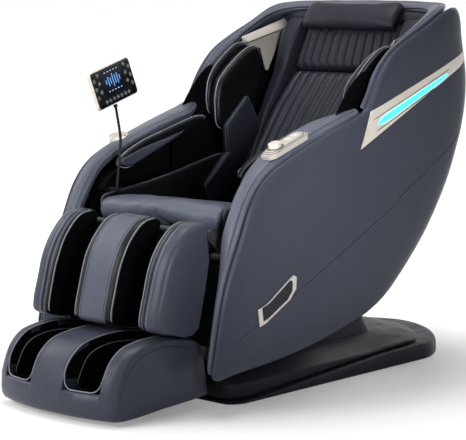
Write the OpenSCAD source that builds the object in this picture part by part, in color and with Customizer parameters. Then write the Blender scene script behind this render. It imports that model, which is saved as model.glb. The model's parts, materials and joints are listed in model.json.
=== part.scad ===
// Massage chair with a one-piece reclining shell on a floor base, a lifting
// calf rest with an extending foot rest, and a massage carriage in the back.
// X is across the chair, -Y is the front, Z is up from the floor. Left and right
// are as seen from the front.

/* [Overall] */
// Width over the two side panels
overall_w = 770; // [730:1:850]
// Height of the top rim above the floor
overall_h = 1135; // [1080:1:1200]
// Clear width between the arms
seat_w = 528; // [500:1:560]
// Air gap between pieces that lie side by side
gap = 0.4; // [0.3:0.1:1]

/* [Side panels] */
// Wall of the moulded side panel
panel_t = 12; // [8:1:16]
// How far the front and top edge lies in from the widest place
edge_in = 17; // [10:1:24]
// How far the rear and bottom edge lies in from the widest place
tuck_in = 50; // [40:1:58]
// Raised crown of the padded arm cap
arm_crown = 17; // [6:1:20]
// Depth of the arm cap below its seams
cap_t = 14; // [10:1:18]

/* [Seat and back] */
// Thickness of the ribbed back pads
back_pad_t = 52; // [40:1:56]
// Number of sewn ribs across the back
rib_count = 8; // [6:1:10]
// Depth of the sewn channels
rib_depth = 9; // [4:1:12]
// Half width of the ribbed part of the back
rib_half_w = 184; // [160:1:190]
// Width of the head pillow
pillow_w = 370; // [330:1:390]
// Thickness of the head pillow
pillow_t = 46; // [36:1:56]

/* [Leg rest] */
// Width of the calf rest
calf_w = 528; // [500:1:532]
// Width of the middle ridge
ridge_w = 154; // [120:1:170]
// Width of each outer ridge
outer_ridge_w = 80; // [66:1:88]
// Slope of the leg rest from upright
leg_tilt = 20; // [18:1:22]
// Width of the foot rest
foot_w = 478; // [440:1:490]

/* [Base] */
// Width of the floor plate
base_w = 600; // [560:1:640]
// Length of the floor plate
base_l = 1192; // [1120:1:1240]
// Height of the floor plate at its tail
skirt_h = 56; // [48:1:60]
// Height of the domed cover
dome_h = 98; // [92:1:100]
// Radius of the recline pivot pins
pivot_r = 12; // [9:0.5:14]

/* [Massage drive] */
// Radius swept by the kneading heads
knead_r = 58; // [44:1:58]
// Radius of the kneading shaft
shaft_r = 9; // [7:0.5:10]
// Travel of the massage carriage along its rails
carriage_travel = 240; // [160:5:240]
// Running clearance of every shaft in its bore
run_gap = 0.06; // [0.03:0.01:0.09]

/* [Controls] */
// Diameter of the control knob
knob_d = 40; // [30:1:44]
// Width of the remote control
tablet_w = 200; // [160:1:210]
// Height of the remote control
tablet_h = 116; // [96:1:124]
// Thickness of the remote control
tablet_t = 15; // [12:1:18]

/* [Hidden] */

half_w = overall_w / 2;
edge_x = half_w - edge_in;             // x of the panel's front and top edge
tuck_x = half_w - tuck_in;             // x of the panel's rear and bottom edge
arm_x = seat_w / 2;                    // inner face of the arms
inner_x = tuck_x - panel_t - gap;      // half width of what fits between the panels
stretch_z = 760;                       // everything above this height follows overall_h
base_h = 1135;                         // height at which the outlines below are written
stretch = (overall_h - stretch_z) / (base_h - stretch_z);

// ---- helpers ---------------------------------------------------------------
function lerp(a, b, t) = a + (b - a) * t;
function unit(v) = v / norm(v);
function clamp01(t) = min(1, max(0, t));
function smooth01(t) = let (c = clamp01(t)) c * c * (3 - 2 * c);
// Heights of the upper body follow the overall height
function lift(z) = z <= stretch_z ? z : stretch_z + (z - stretch_z) * stretch;
function tall(pts) = [for (p = pts) [p.x, lift(p.y)]];
function cubic(a, b, c, d, t) =
  0.5 * (2 * b + (c - a) * t + (2 * a - 5 * b + 4 * c - d) * t * t
  + (3 * b - a - 3 * c + d) * t * t * t);
// Curve through open points, n steps to each span
function curve(p, n) = concat(
  [for (i = [0:len(p) - 2]) for (j = [0:n - 1])
    cubic(p[max(i - 1, 0)], p[i], p[i + 1], p[min(i + 2, len(p) - 1)], j / n)],
  [p[len(p) - 1]]);
// Curve through points that close on themselves
function ring_curve(p, n) = let (m = len(p))
  [for (i = [0:m - 1]) for (j = [0:n - 1])
    cubic(p[(i + m - 1) % m], p[i], p[(i + 1) % m], p[(i + 2) % m], j / n)];
function toward(p, c, s) = c + (p - c) * s;
function at_x(x, pts) = [for (p = pts) [x, p.x, p.y]];
function mean2(p) = [for (k = [0:1]) (min([for (q = p) q[k]]) + max([for (q = p) q[k]])) / 2];
// Normal of an open path in the side view, turned to the front and up
function path_normal(p, i) = let (a = p[max(i - 1, 0)], b = p[min(i + 1, len(p) - 1)],
  d = unit(b - a)) [-d.y, d.x];

// Six times the volume inside a list of faces, negative when they face inward
function six_volumes(pts, faces) = let (v = [for (f = faces) for (i = [1:len(f) - 2])
  pts[f[0]] * cross(pts[f[i]], pts[f[i + 1]])]) v * [for (x = v) 1];
// Solid through a row of rings; every ring has the same number of points. In a strip the ring
// goes out along one face and back along the other, and its ends are closed from face to face
module loft(rings, loop = false, strip = false) {
  m = len(rings[0]);
  k = len(rings);
  points = [for (r = rings) for (p = r) p];
  sides = [for (j = [0:(loop ? k - 1 : k - 2)]) for (i = [0:m - 1])
    let (a = j * m + i, b = j * m + (i + 1) % m,
      c = ((j + 1) % k) * m + (i + 1) % m, d = ((j + 1) % k) * m + i)
    each [[a, b, c], [a, c, d]]];
  last = (k - 1) * m;
  caps = loop ? [] : strip
    ? [for (i = [0:m / 2 - 2]) each [[m - 1 - i, m - 2 - i, i + 1, i],
        [last + i, last + i + 1, last + m - 2 - i, last + m - 1 - i]]]
    : [[for (i = [m - 1:-1:0]) i], [for (i = [0:m - 1]) last + i]];
  faces = concat(sides, caps);
  outward = six_volumes(points, faces) < 0;
  polyhedron(points, outward ? faces : [for (f = faces) [for (i = [len(f) - 1:-1:0]) f[i]]]);
}
// Side-view outline pushed out along X
module slab(x0, x1, pts) {
  translate([x0, 0, 0]) rotate([90, 0, 90]) linear_extrude(x1 - x0) polygon(pts);
}
// Side-view shape (children) pushed out along X
module across(x0, x1) { translate([x0, 0, 0]) rotate([90, 0, 90]) linear_extrude(x1 - x0) children(); }
module rod_x(x0, x1, y, z, r, fn = 40) {
  translate([x0, y, z]) rotate([0, 90, 0]) cylinder(h = x1 - x0, r = r, $fn = fn);
}
module both_sides() { children(); mirror([1, 0, 0]) children(); }

// Cushion with its outline in the side view: flat at x_back, crowned at x_front
module side_cushion(pts, x_back, x_front, crown, steps = 2) {
  o = ring_curve(pts, steps);
  c = mean2(o);
  t = x_front - x_back;
  shape = [[0.93, 0], [0.985, 0.12], [1, 0.4], [0.975, 0.75], [0.9, 0.93], [0.7, 1], [0.35, 1]];
  rings = [for (s = shape)
    at_x(x_back + t * s[1] + crown * sign(t) * (1 - s[0]) * (s[1] > 0.9 ? 1.4 : 0),
      [for (p = o) toward(p, c, s[0])])];
  loft(rings);
}
// Cushion that lies on a side-view path, with sewn channels; span[j] is its [x0, x1] at path[j]
module path_cushion(path, span, thick, ribs = 0, depth = 0, cols = 12, edge = 3, swell = 0) {
  n = len(path) - 1;
  rings = [for (j = [0:n]) let (
      x0 = span[j].x,
      x1 = span[j].y,
      cx = (x0 + x1) / 2,
      v = 2 * j / n - 1,
      ends = pow(max(0, 1 - pow(abs(v), 8)), 0.5),
      tuck = 1 - 0.06 * (1 - ends),
      nn = path_normal(path, j),
      full = (is_list(thick) ? thick[j] : thick) * (0.45 + 0.55 * ends) + swell * (1 - v * v),
      front = [for (i = [0:cols]) let (
          u = 2 * i / cols - 1,
          side = pow(max(0, 1 - pow(abs(u), 2 * edge)), 0.5),
          groove = ribs > 0 ? depth * pow(abs(cos(90 * ribs * (u + 1))), 6) : 0,
          h = full * (0.5 + 0.5 * side) - groove * side * ends,
          x = lerp(x0, x1, i / cols))
        [cx + (x - cx) * tuck, path[j].x + nn.x * h, path[j].y + nn.y * h]],
      back = [[cx + (x1 - cx) * tuck, path[j].x, path[j].y],
        [cx + (x0 - cx) * tuck, path[j].x, path[j].y]])
    concat(front, back)];
  loft(rings);
}
// Stretch of a spline between two of its own parameters, in n steps
function stretch_of(p, a, b, n) = [for (k = [0:n]) let (t = lerp(a, b, k / n), i = min(floor(t), len(p) - 2))
  cubic(p[max(i - 1, 0)], p[i], p[i + 1], p[min(i + 2, len(p) - 1)], t - i)];
function level(pts, y) = lookup(y, pts);

// ---- shared outlines, front to back in Y, up in Z ---------------------------
panel_pts = tall([[-460, 108], [-471, 160], [-431, 347], [-370, 484], [-319, 590], [-251, 660],
  [-136, 713], [6, 762], [122, 798], [178, 822], [209, 866], [248, 928], [305, 983],
  [387, 1026], [481, 1066], [596, 1116], [654, 1098], [690, 1020], [712, 930], [715, 862],
  [704, 784], [671, 688], [608, 562], [497, 414], [349, 276], [249, 214], [118, 172], [-110, 127],
  [-366, 104]]);
panel_c = [120, 600];                  // middle of the panel, toward which it is crowned
outline = ring_curve(panel_pts, 2);
// 0 on the front and top edge, 1 on the rear and bottom edge
function tuck_side(p) = smooth01(0.15 - cross([0.75, 0.66], p - [-480, 150]) / 170);

// Arm band: outer and inner seam, from the lower front up to the notch
cap_out = edge_x - panel_t - 3 * gap;
arm_seams = [
  [[-457, 122], [-398, 124], 0.30], [[-467, 165], [-398, 165], 0.32],
  [[-428, 347], [-374, 342], 0.34], [[-367, 484], [-364, 488], 0.30],
  [[-316, 588], [-316, 586], 0.27], [[-249, 657], [-254, 660], 0.22],
  [[-136, 710], [-144, 718], 0.02], [[6, 759], [2, 766], -0.04],
  [[106, 790], [90, 786], 0.02], [[164, 810], [171, 806], 0.42]];
// Hood rim: seams of the wing, then across behind the pillow
rim_seams = [
  [cap_out, 182, 824, cap_out - 16, 206, 822], [cap_out, 209, 864, cap_out - 27, 241, 855],
  [cap_out, 248, 926, cap_out - 28, 264, 906], [cap_out, 305, 981, cap_out - 28, 321, 962],
  [cap_out, 387, 1024, cap_out - 28, 386, 1010], [cap_out, 481, 1065, cap_out - 30, 456, 1050],
  [cap_out - 2, 554, 1099, cap_out - 38, 520, 1082], [cap_out - 10, 598, 1116, cap_out - 56, 568, 1098],
  [cap_out - 34, 632, 1122, cap_out - 84, 592, 1104], [cap_out - 84, 650, 1126, cap_out - 120, 602, 1107],
  [150, 662, 1129, 150, 612, 1108], [0, 665, 1130, 0, 614, 1109]];

// Back: rear face of all the back pads, from the seat up to the neck
pad_line = curve(tall([[214, 512], [262, 552], [318, 606], [368, 664], [430, 734], [492, 802],
  [548, 874], [580, 945], [606, 1012], [630, 1066]]), 1);
// Slope of the straight part of the rails
rail_dir = [0.656, 0.755];
rail_nrm = [-0.755, 0.656];
shaft_at = [408, 592];                 // kneading shaft at the low end of its travel
function on_rail(a, b) = shaft_at + rail_dir * a + rail_nrm * b;

recline_at = [150, 250];               // pivot of the shell on the base
leg_at = [-368, 492];                  // pivot of the calf rest under the seat front
shell_x = 168;                         // inner face of the shell's pivot plates

// ---- base --------------------------------------------------------------------
base_y0 = -322;
tail_l = 294;                          // length of the rounded tail
tail_y = base_y0 + base_l - tail_l;
base_c = [0, 200];
// Plan outline: square front with round corners, long rounded tail
function plan(hw, y0, tail0, tl, n) = concat(
  [for (i = [0:n]) let (a = i * 90 / n) [hw * pow(cos(a), 2 / 1.65), tail0 + tl * pow(sin(a), 2 / 1.65)]],
  [for (i = [n - 1:-1:0]) let (a = i * 90 / n)
    [-hw * pow(cos(a), 2 / 1.65), tail0 + tl * pow(sin(a), 2 / 1.65)]],
  [[-hw, 300], [-hw, 60], [-hw, y0 + 60], [-hw + 6, y0 + 16], [-hw + 30, y0], [-hw + 150, y0], [0, y0],
    [hw - 150, y0], [hw - 30, y0], [hw - 6, y0 + 16], [hw, y0 + 60], [hw, 60], [hw, 300]]);
base_plan = plan(base_w / 2, base_y0, tail_y, tail_l, 9);
dome_plan = plan(base_w / 2 - 14, base_y0 + 8, tail_y - 60, tail_l - 70, 9);
function ring_z(pts, z, c, s) = [for (p = pts) let (q = toward(p, c, s)) [q.x, q.y, z]];
// The plate's deck climbs from the front to the tail
function deck(y) = lerp(6.5, skirt_h, clamp01((y - base_y0) / 800));
function ring_up(pts, dz, c, s) = [for (p = pts) let (q = toward(p, c, s)) [q.x, q.y, deck(p.y) + dz]];
// The throat that the neck stands in
neck_c = [0, 244];
neck_rx = 183;
neck_ry = 200;
neck_corner = 0.22;                    // 1 is an ellipse, 0 is a rectangle
function power_of(v) = sign(v) * pow(abs(v), neck_corner);
function throat(pts, z, grow) = [for (p = pts) let (a = atan2(p.y - neck_c.y, p.x - neck_c.x))
  [(neck_rx + grow) * power_of(cos(a)), neck_c.y + (neck_ry + grow) * power_of(sin(a)), z]];
deck_in = 0.86;                        // inner edge of the deck, as a share of the plan
module base_plate() color([0.15, 0.17, 0.2]) {
  w = 3;
  loft([ring_z(base_plan, 2, base_c, 1), ring_up(base_plan, -2, base_c, 0.995),
    ring_up(base_plan, 0, base_c, 0.975), ring_up(base_plan, 0, base_c, deck_in),
    ring_up(base_plan, -w, base_c, deck_in), ring_up(base_plan, -w, base_c, 0.965),
    ring_z(base_plan, 2, base_c, 0.985)], loop = true);
}
shoulder_z = 58;                       // height of the cover's side wall
function wall_top(y) = max(shoulder_z, deck(y) + 13);
function ring_wall(pts, dz, c, s) = [for (p = pts) let (q = toward(p, c, s))
  [q.x, q.y, wall_top(p.y) + dz]];
module base_cover() color([0.16, 0.18, 0.21]) {
  w = 5;
  z0 = gap + 0.3;
  loft([ring_up(dome_plan, z0, base_c, 0.94), ring_up(dome_plan, z0 + 6, base_c, 0.94),
    ring_up(dome_plan, z0 + 7, base_c, 1), ring_wall(dome_plan, -4, base_c, 1),
    ring_wall(dome_plan, 4, base_c, 0.97), ring_wall(dome_plan, 14, base_c, 0.91),
    ring_z(dome_plan, dome_h - 8, base_c, 0.8), throat(dome_plan, dome_h, 0),
    throat(dome_plan, dome_h - w, 0), ring_z(dome_plan, dome_h - 8 - w, base_c, 0.79),
    ring_wall(dome_plan, 14 - w, base_c, 0.9), ring_wall(dome_plan, -6, base_c, 0.965),
    ring_up(dome_plan, z0 + 11, base_c, 0.965), ring_up(dome_plan, z0 + 11, base_c, 0.92),
    ring_up(dome_plan, z0, base_c, 0.92)], loop = true);
}
neck_top = 160;
neck_lean = 22;                        // how far the neck's rear wall leans in at the top
function lean(r, d) = [for (p = r) [p.x * (1 - 0.02 * d), p.y - (p.y > neck_c.y ? neck_lean * d : 0), p.z]];
module neck_cover() color([0.13, 0.15, 0.18]) {
  w = 5;
  z0 = dome_h + gap;
  zm = lerp(z0, neck_top, 0.5);
  loft([throat(dome_plan, z0, 12), lean(throat(dome_plan, zm, 8), 0.6),
    lean(throat(dome_plan, neck_top, 6), 1), lean(throat(dome_plan, neck_top, 6 - w), 1),
    lean(throat(dome_plan, zm, 8 - w), 0.6), throat(dome_plan, z0, 12 - w)], loop = true);
}
rail_x = 150;                          // middle of the base's long rails
bracket_x = 146;                       // inner face of the pivot brackets
bracket_t = 10;
frame_z0 = 8;
frame_z1 = 38;
wheel_y = 520;
wheel_r = 17;
cross_h = 22;                          // depth of the cross members
// Underside of the deck near a given place along the base
function tab_top(y) = min(deck(base_c.y + (y - base_c.y) / deck_in), deck(y)) - 3 - gap;
module base_frame() color([0.2, 0.2, 0.22]) {
  both_sides() difference() {
    translate([rail_x - 20, -240, frame_z0]) cube([40, 880, frame_z1 - frame_z0]);
    translate([rail_x - 17, -241, frame_z0 + 3]) cube([34, 882, frame_z1 - frame_z0 - 6]);
  }
  for (y = [-200, -20, 340]) translate([-rail_x + 20 + gap, y, frame_z0 + 4])
    cube([2 * (rail_x - 20 - gap), 40, cross_h]);
  // tabs that carry the floor plate under its deck
  both_sides() for (y = [60, 300]) translate([rail_x + 20 + gap, y, frame_z0 + 4])
    cube([base_w / 2 * 0.92 - rail_x - 20, 30, tab_top(y) - frame_z0 - 4]);
  both_sides() translate([0, wheel_y - 30, 0]) {
    translate([rail_x + 20 + gap, 0, 14]) cube([5, 60, 24]);
  }
  both_sides() rod_x(rail_x + 25 + gap, rail_x + 70, wheel_y, 22, 5);
}
module wheel(x) {
  difference() {
    rod_x(x, x + 26, wheel_y, 22, wheel_r, 48);
    rod_x(x - 1, x + 27, wheel_y, 22, 5 + run_gap);
    for (s = [x - 1, x + 22]) difference() {
      rod_x(s, s + 5, wheel_y, 22, 12.5);
      rod_x(s - 1, s + 6, wheel_y, 22, 8);
    }
  }
}
module transport_wheels() color([0.08, 0.08, 0.09]) both_sides() wheel(rail_x + 36);
module pivot_brackets() color([0.24, 0.24, 0.27]) {
  z1 = frame_z1 + gap;
  both_sides() {
    across(bracket_x, bracket_x + bracket_t) {
      polygon([[20, z1], [330, z1], [330, z1 + 12], [260, z1 + 40], [recline_at.x + 31, recline_at.y],
        [recline_at.x - 31, recline_at.y], [70, z1 + 40], [20, z1 + 12]]);
      translate(recline_at) circle(r = 31, $fn = 64);
    }
    rod_x(bracket_x + bracket_t, shell_x + 12, recline_at.x, recline_at.y, pivot_r);
    rod_x(bracket_x + bracket_t, shell_x - 1, recline_at.x, recline_at.y, pivot_r + 6);
  }
}
act_z = 132;                           // height of the tilt actuator's axis
tilt_x = 14;                           // half width of the actuator's fork
module tilt_actuator() color([0.3, 0.31, 0.33]) {
  difference() {
    union() {
      translate([0, 236, act_z]) rotate([-90, 0, 0]) cylinder(h = 130, r = 20, $fn = 48);
      translate([-24, 330, act_z - 22]) cube([48, 74, 44]);
    }
    translate([0, 235, act_z]) rotate([-90, 0, 0]) cylinder(h = 105, r = 11 + run_gap, $fn = 48);
  }
  translate([-30, 345, frame_z0 + 4 + cross_h + gap]) cube([60, 30, act_z - 34 - cross_h]);
}
module tilt_rod() color([0.75, 0.76, 0.78]) {
  y = recline_at.x;
  translate([0, y + 22, act_z]) rotate([-90, 0, 0]) cylinder(h = 114, r = 11, $fn = 48);
  translate([-5, y - 12, act_z - 12]) cube([10, 36, 24]);
  rod_x(-tilt_x - 8, tilt_x + 8, y, act_z, 6);
}
box_y0 = 468;
inlet_y = neck_c.y + neck_ry + 14;     // inlet block behind the neck
inlet_z = dome_h - 0.2;
rocker_at = [inlet_y + 29, inlet_z + 28];
module power_box() color([0.1, 0.1, 0.11]) {
  // supply between the rails
  difference() {
    translate([-rail_x + 20 + gap, box_y0, 14]) cube([2 * (rail_x - 20 - gap), 120, 22]);
    translate([-92, box_y0 + 3, 17]) cube([184, 114, 28]);
  }
  // mains inlet and switch, facing the rear
  difference() {
    translate([-46, inlet_y, inlet_z]) cube([92, 30, 42]);
    translate([-38, inlet_y + 14, inlet_z + 12]) cube([32, 20, 24]);
    translate([8.4, rocker_at.x - 8, rocker_at.y - 11]) cube([21.2, 20, 22]);
  }
  for (x = [-30, -22, -14]) translate([x - 1, inlet_y + 13, inlet_z + 22]) cube([2, 10, 5]);
  // pivot pin of the switch
  rod_x(8.2, 29.8, rocker_at.x, rocker_at.y, 1.5, 24);
}
module power_rocker() color([0.7, 0.12, 0.1]) difference() {
  translate([9, rocker_at.x, rocker_at.y]) rotate([90, 0, 90]) linear_extrude(20)
    polygon([[-4, -7], [3, -9.4], [1.6, 0], [3, 9.4], [-4, 7]]);
  rod_x(8, 30, rocker_at.x, rocker_at.y, 1.5 + run_gap, 24);
}
module rubber_feet() color([0.05, 0.05, 0.05]) {
  cylinder(h = frame_z0 + 4 - gap, r1 = 16, r2 = 18, $fn = 32);
  for (x = [-rail_x, rail_x]) for (y = [-215, 100, 420, 610])
    translate([x, y, 0]) cylinder(h = frame_z0 - gap, r1 = 16, r2 = 18, $fn = 32);
}

// ---- shell: frames and covers ---------------------------------------------------
lug_x = 252;                           // inner face of the leg rest's lugs
leg_pin_r = 8;
torque_r = 13;
seat_under = [[-290, 491], [-200, 484], [-60, 468], [60, 454], [150, 444]];
pan_line = [for (p = seat_under) p - [0, gap]];
pan_t = 3;
plate_front = -291;                    // front edge of the pivot plates
module seat_frame() color([0.22, 0.22, 0.25]) {
  // pivot plates
  both_sides() difference() {
    across(shell_x, shell_x + 8) {
      polygon(concat([[plate_front, 370], [plate_front, 470]], [for (p = pan_line) p - [0, pan_t + gap]],
        [[226, 470], [300, 500], [340, 482], [230, 330], [recline_at.x + 34, recline_at.y],
        [recline_at.x - 34, recline_at.y], [60, 350], [-250, 360]]));
      translate(recline_at) circle(r = 34, $fn = 64);
    }
    rod_x(shell_x - 1, shell_x + 9, recline_at.x, recline_at.y, pivot_r + run_gap);
  }
  // cross tubes between the plates
  for (p = [[-276, 416], [40, 396], [200, 400]]) rod_x(-shell_x + gap, shell_x - gap, p.x, p.y, 13);
  // lugs of the leg rest, with their pins
  both_sides() {
    across(lug_x, lug_x + 8) {
      polygon([[-292, 404], [-272, 404], [-268, 430], [leg_at.x + 12, leg_at.y + 14],
        [leg_at.x - 14, leg_at.y + 8], [leg_at.x - 10, leg_at.y - 14]]);
      translate(leg_at) circle(r = 18, $fn = 48);
    }
    rod_x(lug_x - 34, lug_x, leg_at.x, leg_at.y, leg_pin_r);
    rod_x(lug_x + 8, lug_x + 12, leg_at.x, leg_at.y, 12);
    rod_x(shell_x + 8 + gap, lug_x - gap, -276, 416, 13);
    rod_x(lug_x + 8 + gap, wall_in - gap, -276, 416, 13);
  }
  // slotted crank that the tilt rod pushes
  both_sides() difference() {
    across(tilt_x - 6, tilt_x) polygon([[recline_at.x - 14, act_z - 24], [recline_at.x + 14, act_z - 24],
      [recline_at.x + 20, 330], [214, 388], [186, 388], [recline_at.x - 20, 330]]);
    across(tilt_x - 7, tilt_x + 1) {
      translate([recline_at.x, act_z]) circle(r = 7.4, $fn = 32);
      translate([recline_at.x, act_z - 14]) circle(r = 7.4, $fn = 32);
      translate([recline_at.x - 7.4, act_z - 14]) square([14.8, 14]);
    }
  }
  // seat pan
  difference() {
    slab(-240, 240, concat(pan_line, [for (i = [len(pan_line) - 1:-1:0]) pan_line[i] - [0, pan_t]]));
    for (x = [-150, 0, 150]) translate([x - 35, -20, 400]) cube([70, 90, 100]);
  }
}
bolster_rib = 236;                     // strips that the side bolsters rest on
back_x = 176;                          // inner face of the back frame's plates
fine_line = curve(pad_line, 3);        // pad_line in shorter steps
// Lip along the pads, then deep plates beside the massage rails
module back_frame() color([0.22, 0.22, 0.25]) {
  n = len(fine_line) - 1;
  line = [for (i = [1:n - 1]) fine_line[i] - path_normal(fine_line, i) * gap];
  far = [for (i = [1:n - 1]) fine_line[i] - path_normal(fine_line, i) * lookup(i, [[1, 26], [6, 40], [8, 100],
    [18, 100], [21, 40], [n, 20]])];
  both_sides() slab(back_x, back_x + 5, concat(line, [for (i = [len(far) - 1:-1:0]) far[i]]));
  // cross tubes, and stubs that hold the rails
  for (p = [fine_line[n - 2] - [-4, 22], fine_line[3] + [20, -18]])
    rod_x(-back_x + gap, back_x - gap, p.x, p.y, 9);
  both_sides() for (a = [-38, carriage_travel + 38]) let (p = on_rail(a, 0))
    rod_x(rail_in + rail_t + gap, back_x - gap, p.x, p.y, 8);
  // strips behind the bolsters
  both_sides() slab(bolster_rib, bolster_rib + 5, concat([for (i = [13:24]) line[i]],
    [for (i = [24:-1:13]) line[i] - path_normal(fine_line, i + 1) * 14]));
  // arms out to the wing liners
  q = fine_line[24] - path_normal(fine_line, 24) * 18;
  both_sides() rod_x(back_x + 5 + gap, liner_x - gap, q.x, q.y, 9);
  // feet down to the pivot plates
  both_sides() slab(back_x, back_x + 5, [[252, 500], [300, 448], [344, 486], [300, 560], [268, 545]]);
}
rail_in = 138;                         // inner face of the rails
rail_t = 20;
rail_deep = 12;
rail_w = 36;
roller_r = 9;
module rail_shape(w) {
  // straight run with a bend under the seat, in rail coordinates (along, up)
  bend = 150;
  translate([-60, -w / 2]) square([60 + carriage_travel + 60, w]);
  translate([-60, bend]) intersection() {
    difference() {
      circle(r = bend + w / 2, $fn = 96);
      circle(r = bend - w / 2, $fn = 96);
    }
    polygon([[0, 0], [0, -2 * bend], [-1.3 * bend, -2 * bend], [-0.9 * bend, -bend * 0.93]]);
  }
}
module in_rail_plane(x0, x1) {
  translate([0, shaft_at.x, shaft_at.y]) rotate([atan2(rail_dir.y, rail_dir.x), 0, 0])
    translate([x0, 0, 0]) rotate([90, 0, 90]) linear_extrude(x1 - x0) children();
}
module massage_rails() color([0.55, 0.56, 0.6]) both_sides() difference() {
  in_rail_plane(rail_in, rail_in + rail_t) rail_shape(rail_w);
  in_rail_plane(rail_in - 1, rail_in + rail_deep) rail_shape(2 * roller_r + 0.8);
}
wall_in = arm_x + 26;                  // inner face of the walls below the arms
bottom_line = [[-297, 394], [-300, 300], [-300, 200], [-280, 160], [-220, 140], [-116, 146], [24, 172]];
module bottom_cover() color([0.1, 0.11, 0.12]) {
  o = curve(bottom_line, 2);
  inner = [for (i = [len(o) - 1:-1:0]) o[i] + path_normal(o, i) * -5];
  slab(-wall_in + gap, wall_in - gap, concat(o, inner));
}
rear_line = curve(tall([[646, 1100], [672, 1012], [690, 925], [692, 862], [681, 790], [648, 696],
  [586, 574], [478, 432], [342, 302], [274, 250]]), 2);
rear_t = 9;                            // wall of the rear cover
rear_bulge = 12;                       // how far its middle stands out
module rear_cover() color([0.12, 0.13, 0.16]) {
  n = len(rear_line) - 1;
  cols = 8;
  rings = [for (i = [0:n]) let (
      d = unit(rear_line[i] - panel_c),
      hw = crown_x(toward(rear_line[i], panel_c, 1 / wall_in_scale)) - panel_t - gap,
      face = [for (k = [0:cols]) let (
          u = 2 * k / cols - 1,
          q = rear_line[i] + d * rear_bulge * (1 - u * u) * sin(180 * i / n))
        [u * hw, q.x, q.y]])
    concat(face, [for (k = [cols:-1:0]) face[k] - [0, d.x, d.y] * rear_t])];
  loft(rings, strip = true);
}

// ---- shell: side panels, arms, wings -----------------------------------------------
// rows of the panel's crown: how far in from the edge, and how far out in x
crown_rows = [[1, 0], [0.985, 0.3], [0.95, 0.58], [0.88, 0.82], [0.72, 0.95], [0.42, 1]];
wall_in_scale = 0.978;                 // inner outline of the panel against its outer one
function skin_x(p) = lerp(edge_x, tuck_x, tuck_side(p));
module side_panel() {
  function outer(r) = [for (p = outline) let (q = toward(p, panel_c, r[0]))
    [lerp(skin_x(p), half_w, r[1]), q.x, q.y]];
  function inner(r) = [for (p = outline) let (q = toward(p, panel_c, r[0] * wall_in_scale))
    [lerp(skin_x(p), half_w, r[1]) - panel_t, q.x, q.y]];
  n = len(crown_rows) - 1;
  loft(concat([for (i = [n:-1:0]) inner(crown_rows[i])], [for (r = crown_rows) outer(r)]));
}
module side_panel_r() color([0.19, 0.21, 0.26]) side_panel();
module side_panel_l() color([0.19, 0.21, 0.26]) mirror([1, 0, 0]) side_panel();

// One padded band between an outer and an inner seam
module band(seams, crown, deep) {
  n = len(seams) - 1;
  mids = [for (s = seams) (s[0] + s[1]) / 2];
  arcs = [[0, 0], [0.08, 0.6], [0.28, 0.94], [0.5, 1], [0.72, 0.94], [0.92, 0.6], [1, 0]];
  rings = [for (i = [0:n]) let (
      o = seams[i][0], q = seams[i][1],
      d = unit(mids[min(i + 1, n)] - mids[max(i - 1, 0)]),
      v = cross(d, q - o),
      nn = unit([0.3 * v.x, v.y, v.z]))
    concat([for (a = arcs) lerp(o, q, a[0]) + nn * crown * a[1]],
      [lerp(o, q, 0.9) - nn * deep, lerp(o, q, 0.1) - nn * deep])];
  loft(rings);
}
arm_curve = curve([for (s = arm_seams)
  [skin_x(s[0]) - panel_t - 3 * gap, s[0].x, s[0].y, lerp(arm_x, half_w, s[2]), s[1].x, s[1].y]], 2);
function seam_pair(v) = [[v[0], v[1], v[2]], [v[3], v[4], v[5]]];
module arm_cap() band([for (v = arm_curve) seam_pair(v)], arm_crown, cap_t);
// The right cap is cut out for the control plate, the left one for the charging pad
module arm_cap_r() color([0.42, 0.44, 0.5]) difference() {
  arm_cap();
  on_arm(plate_x) translate([0, 0, -plate_deep - gap]) linear_extrude(40) offset(delta = gap)
    polygon(plate_outline);
}
module arm_cap_l() color([0.42, 0.44, 0.5]) mirror([1, 0, 0]) difference() {
  arm_cap();
  on_arm(plate_x) translate(pad_at - [0, 0, 8 + gap]) cylinder(h = 40, r = pad_r + gap, $fn = 64);
}
rim_half = curve([for (v = rim_seams) [v[0], v[1], lift(v[2]), v[3], v[4], lift(v[5])]], 2);
rim_crown = 12;
rim_t = 9;
module hood_rim() color([0.42, 0.44, 0.5]) {
  n = len(rim_half) - 1;
  full = concat(rim_half,
    [for (i = [n - 1:-1:0]) let (v = rim_half[i]) [-v[0], v[1], v[2], -v[3], v[4], v[5]]]);
  band([for (v = full) seam_pair(v)], rim_crown, rim_t);
}
// Channel for the forearm: floor and ceiling along the arm
channel_floor = [[-290, 566], [-173, 576], [-18, 600], [144, 634], [226, 654]];
channel_roof = [[-290, 574], [-268, 600], [-240, 618], [-213, 632], [-105, 674], [13, 720], [150, 770]];
wall_x = edge_x - 34;                  // outer wall of the channel
liner_t = 5;
module arm_liner() {
  t = liner_t;
  low = [for (q = channel_floor) if (q.x < 180) q];
  n = len(low) - 1;
  m = len(channel_roof) - 1;
  under = [for (i = [n:-1:0]) low[i] - [0, t]];
  over = [for (i = [m:-1:0]) channel_roof[i] + [0, t]];
  slab(arm_x, wall_x, concat(low, under));
  slab(arm_x, wall_x, concat(channel_roof, over));
  slab(wall_x, wall_x + t, concat(over, [for (i = [0:n]) low[i] - [0, t]]));
  // posts that carry the side panel
  for (p = [[120, 520], [150, 450], [0, 560]]) rod_x(wall_in + liner_t, half_w - panel_t - gap, p.x, p.y, 12);
  // inner wall below the channel
  slab(wall_in, wall_in + 5, concat([[-378, 180], [-376, 240], [-352, 345], [-340, 484], [-300, 548]],
    [for (q = channel_floor) q - [-4, t + gap]],
    [[236, 560], [300, 420], [230, 330], [60, 230], [-250, 184]]));
}
module arm_liner_r() color([0.05, 0.05, 0.06]) arm_liner();
module arm_liner_l() color([0.05, 0.05, 0.06]) mirror([1, 0, 0]) arm_liner();
liner_x = inner_x - 8;
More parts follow.
